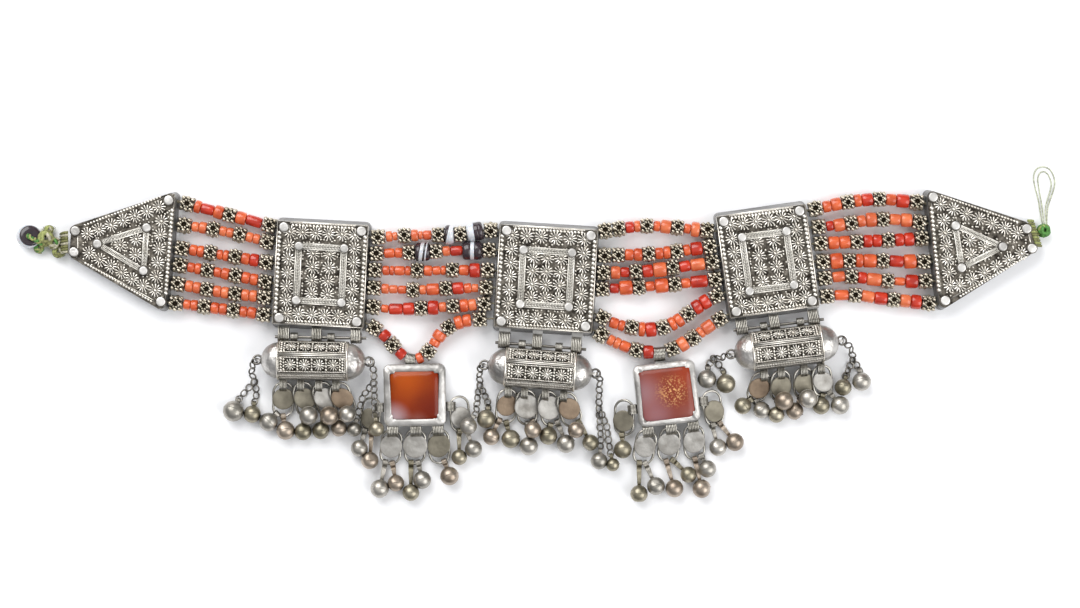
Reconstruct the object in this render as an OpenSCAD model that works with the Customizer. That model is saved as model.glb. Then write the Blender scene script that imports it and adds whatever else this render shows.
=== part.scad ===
// Silver necklace of three boxes, three drums and two carnelians on six beaded strands,
// lying on its back. X runs to the right, Y up along the boxes and Z off the surface.
// The origin is the middle of the middle box's back.

/* [Plates] */
// Thickness of the boxes and end plates
plate_t = 7; // [6.6:0.2:8]
// Height of a box, from its upper edge to its hinge edge
box_h = 42; // [41:0.5:43]
// Inset of the front face at the upper and lower edges
end_taper = 1.6; // [0.8:0.1:2]
// Inset of the front face at the side edges
side_taper = 0.6; // [0.3:0.1:1]
// Diameter of the nail heads in the corners
stud_d = 4; // [3:0.1:4.4]
// Height of the rosettes and rows on the front
relief_t = 0.5; // [0.3:0.1:0.8]
// Diameter of a rosette
rosette_d = 4.4; // [3.6:0.1:4.8]
// Diameter of the thread holes in the plates
bore_d = 1.6; // [1.4:0.1:2]

/* [Strands] */
// Length of a granule bead along its strand
berry_l = 4.6; // [4:0.1:4.8]
// Width of a granule bead
berry_w = 5.4; // [5:0.1:5.8]
// Diameter of the hole in a bead
bead_bore = 1.4; // [1.3:0.1:1.6]
// Diameter of a thread
thread_d = 0.6; // [0.4:0.1:0.7]
// Space between two beads
bead_gap = 0.26; // [0.2:0.02:0.3]

/* [Drums] */
// Length of the six-sided body of a drum
drum_l = 26; // [24:0.5:28]
// Radius of the six-sided body over its edges
drum_r = 7.6; // [7.2:0.1:7.8]
// Radius of the domed ends
dome_r = 6.9; // [6.4:0.1:7]
// Diameter of the hinge wire
hinge_wire_d = 1.1; // [0.9:0.1:1.2]

/* [Settings] */
// Width and height of a carnelian's setting
setting_w = 23.4; // [22.6:0.2:24]
// Height of the setting's wall
setting_t = 6.6; // [6:0.2:7]
// Width of the wall round the stone
bezel_w = 2.4; // [2:0.1:2.8]

/* [Drops] */
// Diameter of the wire of a drop's ring
ring_wire = 0.85; // [0.7:0.05:0.9]
// Radius of the round ends of a drop's ring
ring_r = 3.7; // [3.4:0.1:4]
// Diameter of the disc soldered on the ring
disc_d = 8; // [7.4:0.1:8.2]
// Thickness of the disc
disc_t = 0.6; // [0.4:0.1:0.8]
// Radius of the wire loop on a bell
bail_r = 1.35; // [1.3:0.05:1.45]

/* [Hidden] */
$fn = 48;

silver = "#b9b4a8";
dark_silver = "#8f897a";
coral_red = "#d8452a";

strand_z = plate_t / 2 + 0.15;
bore_out = 2;
string_core_r = 0.5;
string_end = 7;

// A box: middle of its back, turn and width
box_places = [
    [[-85.5, 1.5], -3, 35.8],
    [[0, 0], -3.5, 38.4],
    [[84, 6.5], 8, 35.4]
];

// Corners of the end plates: middles of their round corners
triangle_left_corners = [[-179, 18.7], [-141.5, 31], [-145.6, -10.5], [-179.5, 9.2]];
triangle_right_corners = [[182, 20], [145.6, 31.8], [150.4, -10], [185, 11.5]];
corner_r = 2;

// Bead kinds, each row is kind, length and diameter
berry = [0, berry_l, berry_w];
function coral(l, d) = [1, l, d];
function agate(l, d) = [2, l, d];
// Room on a strand for the bail of a setting
function bail(l) = [3, l, 0];
small = coral(3, 3.6);
round_one = coral(3.4, 4.2);
long_one = coral(5, 4.4);
wide_one = coral(4.4, 5.2);

// A strand is the route of its thread from plate to plate, then its beads in order
gap_1 = [
    [[[-139, 29], [-120, 24], [-102.4, 19.6]],
     [berry, coral(2.3, 4.6), coral(4.9, 3.8), coral(3.4, 4.8), berry, coral(3.8, 4.6),
      coral(6, 3.8), berry]],
    [[[-140.2, 20.4], [-125, 18.4], [-103.2, 13.4]],
     [berry, small, round_one, berry, small, small, berry, small, small, berry]],
    [[[-141, 11.9], [-121, 8.6], [-103.5, 5.8]],
     [berry, coral(3.8, 4), round_one, berry, small, coral(2.7, 4), berry,
      coral(4.2, 4.2), coral(4.6, 4.6), berry]],
    [[[-141.8, 5.4], [-122, 1.8], [-103.9, -1.8]],
     [berry, small, coral(2.7, 4), berry, small, round_one, berry, round_one, round_one, berry]],
    [[[-142.6, -1.6], [-122, -5.4], [-104.2, -7.3]],
     [berry, round_one, round_one, berry, round_one, round_one, berry, round_one, round_one,
      berry]],
    [[[-143.4, -9], [-125, -11.4], [-104.5, -14]],
     [berry, small, coral(3, 4), berry, round_one, round_one, berry, coral(3, 4),
      coral(3.8, 4.2), berry]]
];
gap_2 = [
    [[[-66.6, 15.6], [-50, 16.4], [-33, 16.8], [-24, 18.3], [-18.2, 18.4]],
     [berry, coral(3, 3.8), coral(2.3, 3), berry, round_one, coral(1.9, 3), coral(4.2, 3.4), berry,
      agate(4.2, 7), berry, agate(8.4, 6.6), berry], [0.45, 0.9]],
    [[[-67.2, 9.4], [-54, 9.8], [-40, 10.4], [-28, 10.6], [-18.8, 10.8]],
     [berry, coral(4.2, 3.4), small, berry, agate(5.6, 6.6), berry, small, coral(4.9, 3.6),
      agate(7.6, 6.6), berry]],
    [[[-67.8, 3.2], [-50, 2.9], [-33, 3.2], [-19.4, 2.9]],
     [berry, coral(2.8, 3.4), coral(1.7, 3.4), coral(4.3, 3.4), coral(2.3, 3.4), berry,
      coral(3.4, 3.8), coral(3.4, 3.2), coral(1.9, 3.4), berry, coral(4.2, 3.8), wide_one, berry]],
    [[[-68.2, -3.4], [-51, -4.4], [-38, -3.8], [-20, -3.6]],
     [berry, small, coral(3.4, 3), coral(3.4, 3), berry, coral(2.7, 3.4), coral(5.3, 4.2), berry,
      coral(4.6, 4.4), small, coral(2.7, 3), berry]],
    [[[-68.6, -10.4], [-60, -11.6], [-48, -11.4], [-34, -10.5], [-20.4, -9.4]],
     [berry, coral(3, 2.9), coral(5.7, 4), coral(4.7, 4.6), berry, wide_one, small, berry,
      coral(3.4, 4.6), coral(3.2, 4.2), berry], [0.4, 1.2]],
    [[[-69, -16.8], [-64.6, -19], [-60.6, -22.4], [-57.4, -26.4], [-53.8, -29.6], [-49.6, -30.6],
      [-45.6, -29], [-42.8, -25.2], [-40, -21], [-36, -17.8], [-30, -16], [-20.9, -15.2]],
     [berry, coral(4.4, 4), berry, coral(4.4, 3.6), bail(3.4), small, berry, small, coral(4.6, 4.4),
      berry, coral(3.8, 4.6), coral(4, 4.2), berry], [1.05, 2.4]]
];
gap_3 = [
    [[[19.8, 17.6], [30, 19.2], [38, 20], [49, 19.4], [64, 17.8]],
     [berry, berry, coral(3.8, 4.2), coral(2.7, 4.2), berry, coral(3, 3.8), coral(4.6, 4.9), berry,
      small, coral(3.8, 5.4), berry]],
    [[[19.4, 8.8], [38, 9.2], [50, 10.4], [65, 12.4]],
     [berry, berry, coral(3.8, 4.2), coral(3.6, 4.6), berry, round_one, coral(3, 4.6), berry,
      coral(3, 4), coral(5.1, 4.9), berry]],
    [[[19, 2], [38, 2.8], [48, 4], [66, 6.4]],
     [berry, coral(3.2, 4.6), small, berry, coral(3.6, 4.6), coral(4.6, 5.3), berry,
      coral(3.8, 4), long_one, berry]],
    [[[18.6, -4.2], [36, -3.2], [48, -2.4], [67, 0]],
     [berry, small, wide_one, berry, small, wide_one, berry, small, coral(5.7, 4.4), berry]],
    [[[17.9, -13], [25, -16.6], [32, -18.6], [41, -19.4], [49, -16.8], [56, -11.8], [62, -8],
      [68.6, -5]],
     [berry, coral(4.6, 3.6), small, berry, coral(3, 4.8), coral(5.7, 4.9), berry, coral(3, 4.6),
      coral(3.8, 4.6), berry, coral(4.6, 4.8), coral(4.9, 4.8), berry], [0.7, 2.2]],
    [[[17.5, -19.2], [24, -23.2], [34, -27.2], [43, -28], [50, -26], [57, -21.8], [63, -17.4],
      [69.6, -13.4]],
     [berry, small, coral(2.7, 3.8), coral(4.9, 3.6), berry, coral(4.9, 4.4), bail(4), berry,
      coral(4.6, 4.8), berry, coral(2.3, 3.8), coral(6, 4.2), berry], [0.6, 2.2]]
];
gap_4 = [
    [[[99.6, 25.9], [107, 27.4], [115, 29.2], [127, 30.2], [136, 29.4], [143.6, 28.6]],
     [berry, round_one, coral(4.2, 4.6), berry, coral(3, 4.6), coral(4.6, 4.6), berry,
      coral(4.2, 4.2), coral(5.3, 4.9), berry]],
    [[[100.8, 19.4], [112, 20.4], [124, 22.4], [137, 22.2], [144.6, 21]],
     [berry, small, coral(4.6, 4.6), berry, round_one, wide_one, berry, coral(4.6, 4),
      coral(4.6, 4.9), berry]],
    [[[101.6, 13.2], [118, 14], [132, 14.6], [145.5, 15.2]],
     [berry, coral(4.6, 4.6), coral(4.6, 4.6), berry, coral(3.8, 4.6), coral(3.8, 4.6), berry,
      coral(3.8, 4.6), coral(4.2, 4.9), berry]],
    [[[102.4, 6.4], [116, 6.8], [130, 6.6], [146.3, 6.4]],
     [berry, coral(4.6, 5.6), berry, coral(2.7, 4.9), coral(4.9, 4.9), berry, coral(5.3, 4.2),
      coral(4.6, 5.2), berry]],
    [[[103.2, -0.2], [115, 0.8], [130, -1], [147, -1]],
     [berry, coral(4.9, 3.8), berry, round_one, coral(5.7, 4.6), berry, coral(4.2, 3),
      coral(4.9, 4.9), berry]],
    [[[104, -7], [116, -6.2], [129, -7.8], [148.2, -9.6]],
     [berry, coral(4.6, 3.8), berry, coral(4.2, 4.2), coral(4.2, 4.6), berry, coral(3.4, 4.6),
      coral(3.4, 5.2), berry]]
];

// A hinge: middle of its wire and turn. A drum hangs drum_reach below it, moved along by drum_shift
hinge_places = [[[-85.5, -22.4], -1], [[-2, -25.6], -4.4], [[88.2, -17.6], 7]];
drum_shifts = [-2.5, 0.4, 1.8];
drum_reach = 8.9;
drum_z = 7.4;
hinge_z = 5.6;
box_loops = [[-14, 4.4], [-1.5, 3.8], [13.5, 4.2]];
drum_loops = [-7.5, 6.5];
box_loop_r = 1.9;
drum_loop_r = 1.4;
hinge_clear = 0.15;
drop_loops = [[-11.4, -4.8, 2.1, 8.6], [-11.4, -5.2, 2.7, 9.7], [-9.5, -3, 5.7, 12.2]];
drop_loop_r = 1.6;
drop_loop_hole = 1.15;
drop_loop_w = 1.3;
drop_loop_y = 8.45;
drop_loop_z = 5.1;

// A setting: its middle and turn, and the strand whose bail space it hangs from
setting_places = [[[-49.8, -44.2], 1], [[45.8, -43.6], 6.5]];
setting_loops = [-8.6, 0.2, 8.6];
setting_loop_r = 1.9;
setting_loop_hole = 1.3;
setting_loop_w = 2.2;
side_loop_y = -4.6;
setting_loop_z = 4.6;

function unit(v) = v / norm(v);
function flat(p, z) = [for (q = p) [q[0], q[1], len(q) > 2 ? q[2] : z]];
function spline(p, n) = [
    for (i = [0:len(p) - 2]) let (
        a = p[max(i - 1, 0)], b = p[i], c = p[i + 1], d = p[min(i + 2, len(p) - 1)]
    ) for (k = [0:n - 1]) let (t = k / n)
        0.5 * (2 * b + (c - a) * t + (2 * a - 5 * b + 4 * c - d) * t * t
        + (3 * b - a - 3 * c + d) * t * t * t),
    p[len(p) - 1]
];
function arc_lengths(p) = [
    for (i = 0, s = 0; i < len(p);
        s = s + (i + 1 < len(p) ? norm(p[i + 1] - p[i]) : 0), i = i + 1) s
];
function along(p, sums, s) = let (
    i = max([for (k = [0:len(p) - 2]) sums[k] <= s ? k : 0])
) p[i] + (p[i + 1] - p[i]) * (s - sums[i]) / (sums[i + 1] - sums[i]);

// A tube swept along points, with a radius for each point
module tube(points, radii, sides = 8, up = [0, 0, 1]) {
    last = len(points) - 1;
    rings = [for (i = [0:last]) let (
        t = unit(points[min(i + 1, last)] - points[max(i - 1, 0)]),
        n = unit(cross(up, t)), b = cross(t, n)
    ) for (k = [0:sides - 1])
        points[i] + radii[i] * (cos(360 * k / sides) * n + sin(360 * k / sides) * b)];
    polyhedron(rings, concat(
        [[for (k = [0:sides - 1]) k]],
        [for (i = [0:last - 1]) for (k = [0:sides - 1]) let (m = (k + 1) % sides)
            [i * sides + k, (i + 1) * sides + k, (i + 1) * sides + m, i * sides + m]],
        [[for (k = [sides - 1:-1:0]) last * sides + k]]
    ));
}

module even_tube(points, r, sides = 8) {
    tube(points, [for (q = points) r], sides);
}

module towards(v) {
    rotate([0, acos(v[2] / norm(v)), atan2(v[1], v[0])]) children();
}

// A cylinder from point a to point b
module rod(a, b, r, extra = 0) {
    translate(a - extra * unit(b - a)) towards(b - a)
        cylinder(h = norm(b - a) + 2 * extra, r = r, $fn = 24);
}

// A short tube with its hole along X
module loop_x(r, hole_r, w) {
    rotate([0, 90, 0]) difference() {
        cylinder(h = w, r = r, center = true, $fn = 32);
        cylinder(h = w + 1, r = hole_r, center = true, $fn = 32);
    }
}

// Beads on a strand: each row is kind, start, end and diameter
function route(strand) = spline(flat(strand[0], strand_z), 8);
function sum(v) = [for (x = v) 1] * v;
function spacing(strand) = len(strand) > 2 ? strand[2] : [bead_gap, 0.9];
function fill(strand) = let (
    sums = arc_lengths(route(strand)),
    beads = strand[1],
    fixed = sum([for (b = beads) b[0] == 0 || b[0] == 3 ? b[1] : 0])
        + spacing(strand)[0] * (len(beads) - 1) + 2 * spacing(strand)[1],
    loose = sum([for (b = beads) b[0] == 1 || b[0] == 2 ? b[1] : 0]),
    k = (sums[len(sums) - 1] - fixed) / loose
) [for (b = beads) b[0] == 1 || b[0] == 2 ? b[1] * k : b[1]];
function starts(lengths, gap, first) = [
    for (i = 0, s = first; i < len(lengths); s = s + lengths[i] + gap, i = i + 1) s
];
function rows(strand) = let (
    ls = fill(strand), ss = starts(ls, spacing(strand)[0], spacing(strand)[1])
)
    [for (i = [0:len(ls) - 1]) [strand[1][i][0], ss[i], ss[i] + ls[i], strand[1][i][2]]];

module place_beads(strands, kind) {
    for (strand = strands) {
        p = route(strand);
        sums = arc_lengths(p);
        for (i = [0:len(strand[1]) - 1]) {
            row = rows(strand)[i];
            if (row[0] == kind) {
                a = along(p, sums, row[1]);
                b = along(p, sums, row[2]);
                translate((a + b) / 2) towards(b - a) {
                    if (kind == 0) berry_bead(row[2] - row[1], 31 * i);
                    else round_bead(row[2] - row[1] - 0.02, row[3] / 2);
                }
            }
        }
    }
}

// A granule bead: a cube with round corners, drilled through, with a pit in each side
module berry_bead(l, turn) {
    rotate([0, 0, turn]) difference() {
        intersection() {
            cube([berry_w * 0.9, berry_w * 0.9, l - 0.02], center = true);
            sphere(r = berry_w * 0.57);
        }
        cylinder(h = l + 1, r = bead_bore / 2, center = true);
        for (a = [0:90:270]) rotate([90, 0, a]) translate([0, 0, berry_w * 0.45 - 0.7])
            cylinder(h = 1, r = 0.7, $fn = 24);
    }
}

// A barrel with a hole along it
module round_bead(l, r) {
    rotate_extrude() polygon([
        [bead_bore / 2, -l / 2], [r * 0.84, -l / 2], [r, -l * 0.28], [r, l * 0.28],
        [r * 0.84, l / 2], [bead_bore / 2, l / 2]
    ]);
}

// A strand outside the boxes as one turned string, each bead three rings
module string(strand, to_start, to_end) {
    p = route(strand);
    sums = arc_lengths(p);
    n = len(p) - 1;
    beads = rows(strand);
    points = concat(
        [p[0] + string_end * to_start, p[0] + 0.1 * to_start],
        [for (b = beads) for (f = [0.02, 0.5, 0.98]) along(p, sums, b[1] + f * (b[2] - b[1]))],
        [p[n] + 0.1 * to_end, p[n] + string_end * to_end]
    );
    radii = concat(
        [string_core_r, string_core_r],
        [for (b = beads) for (f = [0.8, 1, 0.8]) f * b[3] / 2],
        [string_core_r, string_core_r]
    );
    tube(points, radii, 8);
}

// The six threads of the inner gaps, through the boxes between the outer strings
module threads() {
    color("#6b6455") for (k = [0:5]) {
        g1 = route(gap_1[k]);
        g2 = route(gap_2[k]);
        g3 = route(gap_3[k]);
        g4 = route(gap_4[k]);
        first = g1[len(g1) - 1] + (string_end + 0.6) * unit(g2[0] - g1[len(g1) - 1]);
        last = g4[0] - (string_end + 0.6) * unit(g4[0] - g3[len(g3) - 1]);
        thin_2 = [for (i = [0:4:len(g2) - 1]) g2[i]];
        thin_3 = [for (i = [0:4:len(g3) - 1]) g3[i]];
        even_tube(concat([first], thin_2, thin_3, [last]), thread_d / 2, 6);
    }
}

// Bores of one plate, from the strands' ends on its left to their starts on its right
module box_bores(left, right) {
    for (k = [0:5]) {
        a = route(left[k]);
        b = route(right[k]);
        rod(a[len(a) - 1], b[0], bore_d / 2, bore_out);
    }
}

module rosette() {
    linear_extrude(relief_t) polygon([
        for (k = [0:19]) rosette_d / 2 * (k % 2 == 0 ? 1 : 0.72) * [cos(18 * k), sin(18 * k)]
    ]);
    cylinder(h = relief_t + 0.3, r = 0.7, $fn = 8);
}

module rosette_row(a, b, n) {
    for (k = [0:n - 1]) translate(a + (b - a) * k / (n - 1)) rosette();
}

// A raised flat strip between two points of the front
module strip(a, b, w, h) {
    translate((a + b) / 2) rotate(atan2(b[1] - a[1], b[0] - a[0]))
        translate([-norm(b - a) / 2, -w / 2, 0]) cube([norm(b - a), w, h]);
}

module stud(p) {
    translate(p) cylinder(h = 1, r = stud_d / 2, $fn = 24);
}

// Front of a box in its own frame, with its middle at the origin
module box_front(w) {
    x = w / 2 - side_taper - 2.6;
    y = box_h / 2 - end_taper - 2.2;
    fx = w * 0.24;
    fy = box_h * 0.245;
    row_x = w / 2 - side_taper - 1;
    for (s = [-1, 1]) for (t = [-1, 1]) {
        stud([s * x, t * y]);
        stud([s * fx, t * fy]);
    }
    for (s = [-1, 1]) {
        strip([-fx, s * fy], [fx, s * fy], 2.2, 0.7);
        strip([s * fx, -fy], [s * fx, fy], 2.2, 0.7);
        strip([s * row_x, 2.4 - y], [s * row_x, y - 2.4], 1.3, relief_t);
        strip([2.4 - x, s * (y + 1.2)], [x - 2.4, s * (y + 1.2)], 1.2, relief_t);
        rosette_row([5 - x, s * (y - 1.6)], [x - 5, s * (y - 1.6)], 5);
        rosette_row([s * (x - 1.6), 5.8 - y], [s * (x - 1.6), y - 5.8], 6);
    }
    for (s = [-0.5, 0.5]) rosette_row([s * 5, -7], [s * 5, 7], 4);
}

module rounded(w, h, r, t) {
    for (s = [-1, 1]) for (u = [-1, 1])
        translate([s * (w / 2 - r), u * (h / 2 - r), 0]) cylinder(h = t, r = r, $fn = 16);
}

module hinge_frame(i) {
    translate([hinge_places[i][0][0], hinge_places[i][0][1], 0]) rotate(hinge_places[i][1])
        children();
}

module box(i, left, right) {
    place = box_places[i];
    w = place[2];
    color(silver) difference() {
        union() {
            translate([place[0][0], place[0][1], 0]) rotate(place[1]) {
                hull() {
                    rounded(w, box_h, corner_r, 0.8);
                    translate([0, 0, plate_t - 0.1])
                        rounded(w - 2 * side_taper, box_h - 2 * end_taper, corner_r, 0.1);
                }
                translate([0, 0, plate_t - 0.05]) box_front(w);
            }
            hinge_frame(i) for (loop = box_loops) {
                translate([loop[0], 0, hinge_z])
                    rotate([0, 90, 0]) cylinder(h = loop[1], r = box_loop_r, center = true);
                translate([loop[0] - loop[1] / 2, 0, hinge_z - 1.2])
                    cube([loop[1], 7, 1.8]);
            }
        }
        box_bores(left, right);
        hinge_frame(i) for (loop = box_loops) translate([loop[0], 0, hinge_z]) rotate([0, 90, 0])
            cylinder(h = loop[1] + 1, r = hinge_wire_d / 2 + hinge_clear, center = true);
    }
}

// An end plate: a solid with its corners pulled in at the front
module end_plate(corners, inner) {
    middle = (corners[0] + corners[1] + corners[2] + corners[3]) / 4;
    hull() for (c = corners) {
        translate(c) cylinder(h = 0.8, r = corner_r, $fn = 16);
        translate(concat(c + 1.1 * unit(middle - c), [plate_t - 0.1]))
            cylinder(h = 0.1, r = corner_r, $fn = 16);
    }
    translate([0, 0, plate_t - 0.05]) {
        for (i = [0:2]) strip(inner[i], inner[(i + 1) % 3], 1.9, 0.7);
        for (p = inner) stud(p);
    }
}

module end_bores(strands, at_start) {
    for (k = [0:5]) {
        p = route(strands[k]);
        n = len(p) - 1;
        if (at_start) rod(p[0] - (string_end + 1) * unit(p[1] - p[0]), p[0] + bore_out * unit(p[1] - p[0]),
            bore_d / 2);
        else rod(p[n] - bore_out * unit(p[n] - p[n - 1]),
            p[n] + (string_end + 1) * unit(p[n] - p[n - 1]), bore_d / 2);
    }
}

module triangle_left() {
    color(silver) difference() {
        union() {
            end_plate(triangle_left_corners, [[-169.9, 13.1], [-151.2, 19.2], [-152.4, 2.9]]);
            translate([0, 0, plate_t - 0.05]) {
                for (p = [[-178.3, 18], [-178.8, 10], [-142.9, 29.6], [-145.9, -8.8]]) stud(p);
                rosette_row([-173.4, 17], [-147.8, 26.6], 6);
                rosette_row([-146, 21.6], [-148, -3.6], 6);
                rosette_row([-171.4, 7.8], [-152.6, -3], 5);
                rosette_row([-161.6, 12.6], [-155.8, 14.8], 2);
                rosette_row([-156, 9.8], [-156, 9.8], 2);
                strip([-141.6, 25.8], [-144, -5.6], 1.3, relief_t);
                strip([-174.6, 20.2], [-146.2, 29.6], 1.2, relief_t);
            }
        }
        end_bores(gap_1, true);
        rod([-183, 14, 3.2], [-176, 14, 3.2], 1.1);
    }
}

module triangle_right() {
    color(silver) difference() {
        union() {
            end_plate(triangle_right_corners, [[155, 20], [172.9, 12], [157.3, 4]]);
            translate([0, 0, plate_t - 0.05]) {
                for (p = [[182, 18.8], [184, 11.4], [146.6, 30.8], [151.2, -8.4]]) stud(p);
                rosette_row([151, 27.2], [177.6, 17.4], 6);
                rosette_row([150, 21.4], [153, -2.6], 6);
                rosette_row([157.2, -3], [179.2, 8.8], 5);
                rosette_row([160.4, 14.4], [166, 12], 2);
                rosette_row([160.8, 9.2], [160.8, 9.2], 2);
                strip([146, 26.6], [148.8, -4.4], 1.3, relief_t);
                strip([150, 31.2], [178.4, 21.4], 1.2, relief_t);
            }
        }
        end_bores(gap_4, false);
        rod([181, 14, 3.2], [189, 14, 3.2], 1.1);
    }
}

module drum_frame(i) {
    hinge_frame(i) translate([drum_shifts[i], -drum_reach, drum_z]) children();
}

// One face of a drum, turned about its axis
module drum_panel(turn) {
    rotate([turn, 0, 0]) translate([0, 0, drum_r * cos(30) - 0.05]) {
        for (s = [-1, 1]) {
            strip([-12, s * 3], [12, s * 3], 0.9, 0.5);
            strip([s * 12.2, -2.4], [s * 12.2, 2.4], 0.9, 0.5);
        }
        for (x = [-8.1, -2.7, 2.7, 8.1]) translate([x, 0, 0]) rosette();
    }
}

module dome() {
    rotate_extrude() intersection() {
        circle(r = dome_r);
        square([dome_r + 1, dome_r + 1]);
    }
}

module drum(i) {
    color(silver) drum_frame(i) {
        difference() {
            union() {
                rotate([-19, 0, 0]) rotate([0, 90, 0])
                    cylinder(h = drum_l, r = drum_r, center = true, $fn = 6);
                for (x = drum_loops) translate([x, drum_reach, hinge_z - drum_z]) {
                    rotate([0, 90, 0]) cylinder(h = 2.6, r = drum_loop_r, center = true);
                    translate([-1.3, -3, -0.5]) cube([2.6, 3, 1]);
                }
            }
            for (x = drum_loops) translate([x, drum_reach, hinge_z - drum_z]) rotate([0, 90, 0])
                cylinder(h = 4, r = hinge_wire_d / 2 + hinge_clear, center = true);
        }
        for (s = [-1, 1]) {
            translate([s * (drum_l / 2 - 0.05), 0, 0]) rotate([0, s * 90, 0]) dome();
            translate([s * end_loop_x, 0, 0]) rotate([0, 0, 90]) loop_x(1.5, 0.8, 1);
        }
        drum_panel(11);
        drum_panel(-49);
        for (x = drop_loops[i]) translate([x, -drop_loop_y, drop_loop_z - drum_z])
            loop_x(drop_loop_r, drop_loop_hole, drop_loop_w);
    }
}

module hinge_wire(i) {
    color(dark_silver) hinge_frame(i) translate([0, 0, hinge_z]) rotate([0, 90, 0])
        cylinder(h = 34.6, r = hinge_wire_d / 2, center = true);
}

module setting_frame(i) {
    place = setting_places[i];
    translate([place[0][0], place[0][1], 0]) rotate(place[1]) children();
}

module setting(i, strand) {
    p = route(strand);
    sums = arc_lengths(p);
    row = [for (r = rows(strand)) if (r[0] == 3) r][0];
    a = along(p, sums, row[1]);
    b = along(p, sums, row[2]);
    color(silver) difference() {
        union() {
            setting_frame(i) {
                difference() {
                    hull() rounded(setting_w, setting_w, 2.6, setting_t);
                    translate([0, 0, 2]) hull() rounded(setting_w - 2 * bezel_w,
                        setting_w - 2 * bezel_w, 1.8, setting_t);
                }
                for (x = setting_loops) translate([x, -setting_w / 2 - 1.5, setting_loop_z])
                    loop_x(setting_loop_r, setting_loop_hole, setting_loop_w);
                for (s = [-1, 1])
                    translate([s * (setting_w / 2 + 1.5), side_loop_y, setting_loop_z])
                        rotate([0, 0, 90]) loop_x(setting_loop_r, setting_loop_hole, 1.4);
            }
            rod(a, b, 1.7, -0.3);
            translate([0, 0, strand_z - 0.9])
                strip([(a[0] + b[0]) / 2, (a[1] + b[1]) / 2 - 0.6],
                    [(a[0] + b[0]) / 2, setting_places[i][0][1] + setting_w / 2 - 1.4], 3.2, 1.8);
        }
        rod(a, b, bead_bore / 2, 2);
    }
}

module carnelian(i) {
    inner = setting_w - 2 * bezel_w - 0.3;
    color("#b5451a") setting_frame(i) hull() {
        translate([0, 0, 2.15]) rounded(inner, inner, 1.7, 3);
        translate([0, 0, 6.5]) rounded(inner - 1, inner - 1, 1.6, 0.2);
        translate([0, 0, 7.5]) rounded(inner - 5, inner - 5, 1.6, 0.2);
    }
}

// An oval ring with a disc across it, lying in its own XY plane with its middle at the origin
module drop(straight, disc_up, wide) {
    for (s = [-1, 1]) {
        translate([0, s * straight / 2, 0]) rotate(s > 0 ? 0 : 180)
            rotate_extrude(angle = 180) translate([ring_r, 0]) circle(d = ring_wire, $fn = 16);
        translate([s * ring_r, 0, 0]) rotate([90, 0, 0])
            cylinder(h = straight, d = ring_wire, center = true, $fn = 16);
    }
    translate([0, disc_up, 0.1]) cylinder(h = disc_t, d = wide);
}

function rx(a) = [[1, 0, 0], [0, cos(a), -sin(a)], [0, sin(a), cos(a)]];
function ry(a) = [[cos(a), 0, sin(a)], [0, 1, 0], [-sin(a), 0, cos(a)]];
function rz(a) = [[cos(a), -sin(a), 0], [sin(a), cos(a), 0], [0, 0, 1]];
function turned(angles, v) = rz(angles[2]) * (ry(angles[1]) * (rx(angles[0]) * v));
function heading(from, to) = atan2(to[0] - from[0], from[1] - to[1]);
function hinge_point(i, v) = let (q = rz(hinge_places[i][1]) * v)
    [hinge_places[i][0][0] + q[0], hinge_places[i][0][1] + q[1], q[2]];
function drum_point(i, v) = hinge_point(i, v + [drum_shifts[i], -drum_reach, drum_z]);
function setting_point(i, v) = let (q = rz(setting_places[i][1]) * v)
    [setting_places[i][0][0] + q[0], setting_places[i][0][1] + q[1], q[2]];

// A drop is its loop's place, its turn, the point of its ring in the loop and its straight length.
// An aim is the slope, the roll and the middle of the disc in plan
function aimed(q, aim, bearing, straight, disc_up) =
    [q, [aim[0], aim[1], heading(q, [aim[2], aim[3]])], bearing, straight, disc_up];
function drum_drops(i, aims, straight, disc_up) = [for (k = [0:3]) aimed(
    drum_point(i, [drop_loops[i][k], -drop_loop_y, drop_loop_z - drum_z]), aims[k],
    [0, straight / 2 + ring_r, 0], straight, disc_up)];
// A side drop hangs by its straight side, so it is turned to run along the loop
function setting_drops(i, aims, straight) = concat(
    [for (k = [0:2]) aimed(
        setting_point(i, [setting_loops[k], -setting_w / 2 - 1.5, setting_loop_z]), aims[k],
        [0, straight / 2 + ring_r, 0], straight, 0.5)],
    [for (s = [0, 1]) [
        setting_point(i, [(2 * s - 1) * (setting_w / 2 + 1.5), side_loop_y, setting_loop_z]),
        aims[3 + s], [(1 - 2 * s) * ring_r * cos(8), straight / 2 + ring_r * sin(8), 0], straight,
        -1.2]]
);
left_drops = drum_drops(0, [[14, 12, -99.6, -45], [14, 12, -91.6, -45], [14, 12, -84, -45],
    [14, 10, -77.6, -44.8]], 6, 0.5);
centre_drops = drum_drops(1, [[14, 12, -14.8, -50.4], [14, 12, -6.8, -50.8],
    [14, 12, 2, -50.8], [14, 10, 9.2, -50]], 6, 0.5);
right_drops = drum_drops(2, [[16, 14, 81.2, -42], [16, 14, 89.6, -42], [16, 12, 98.4, -41],
    [16, 12, 105.6, -40]], 4.6, -0.2);
setting_left_drops = setting_drops(0, [[12, 0, -59.4, -68], [12, 0, -50, -67.8],
    [12, 0, -40.6, -66.3], [8, -20, -8], [8, 20, 8]], 6);
setting_right_drops = setting_drops(1, [[12, 0, 37, -67], [12, 0, 46.4, -66.3],
    [12, 0, 56.4, -64], [8, -20, -4], [8, 20, 14]], 6);

module drops(list) {
    color(silver) for (d = list) translate(d[0]) rotate(d[1]) translate(-d[2]) drop(d[3], d[4], d[4] < -1 ? disc_d - 0.5 : disc_d);
}

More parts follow.
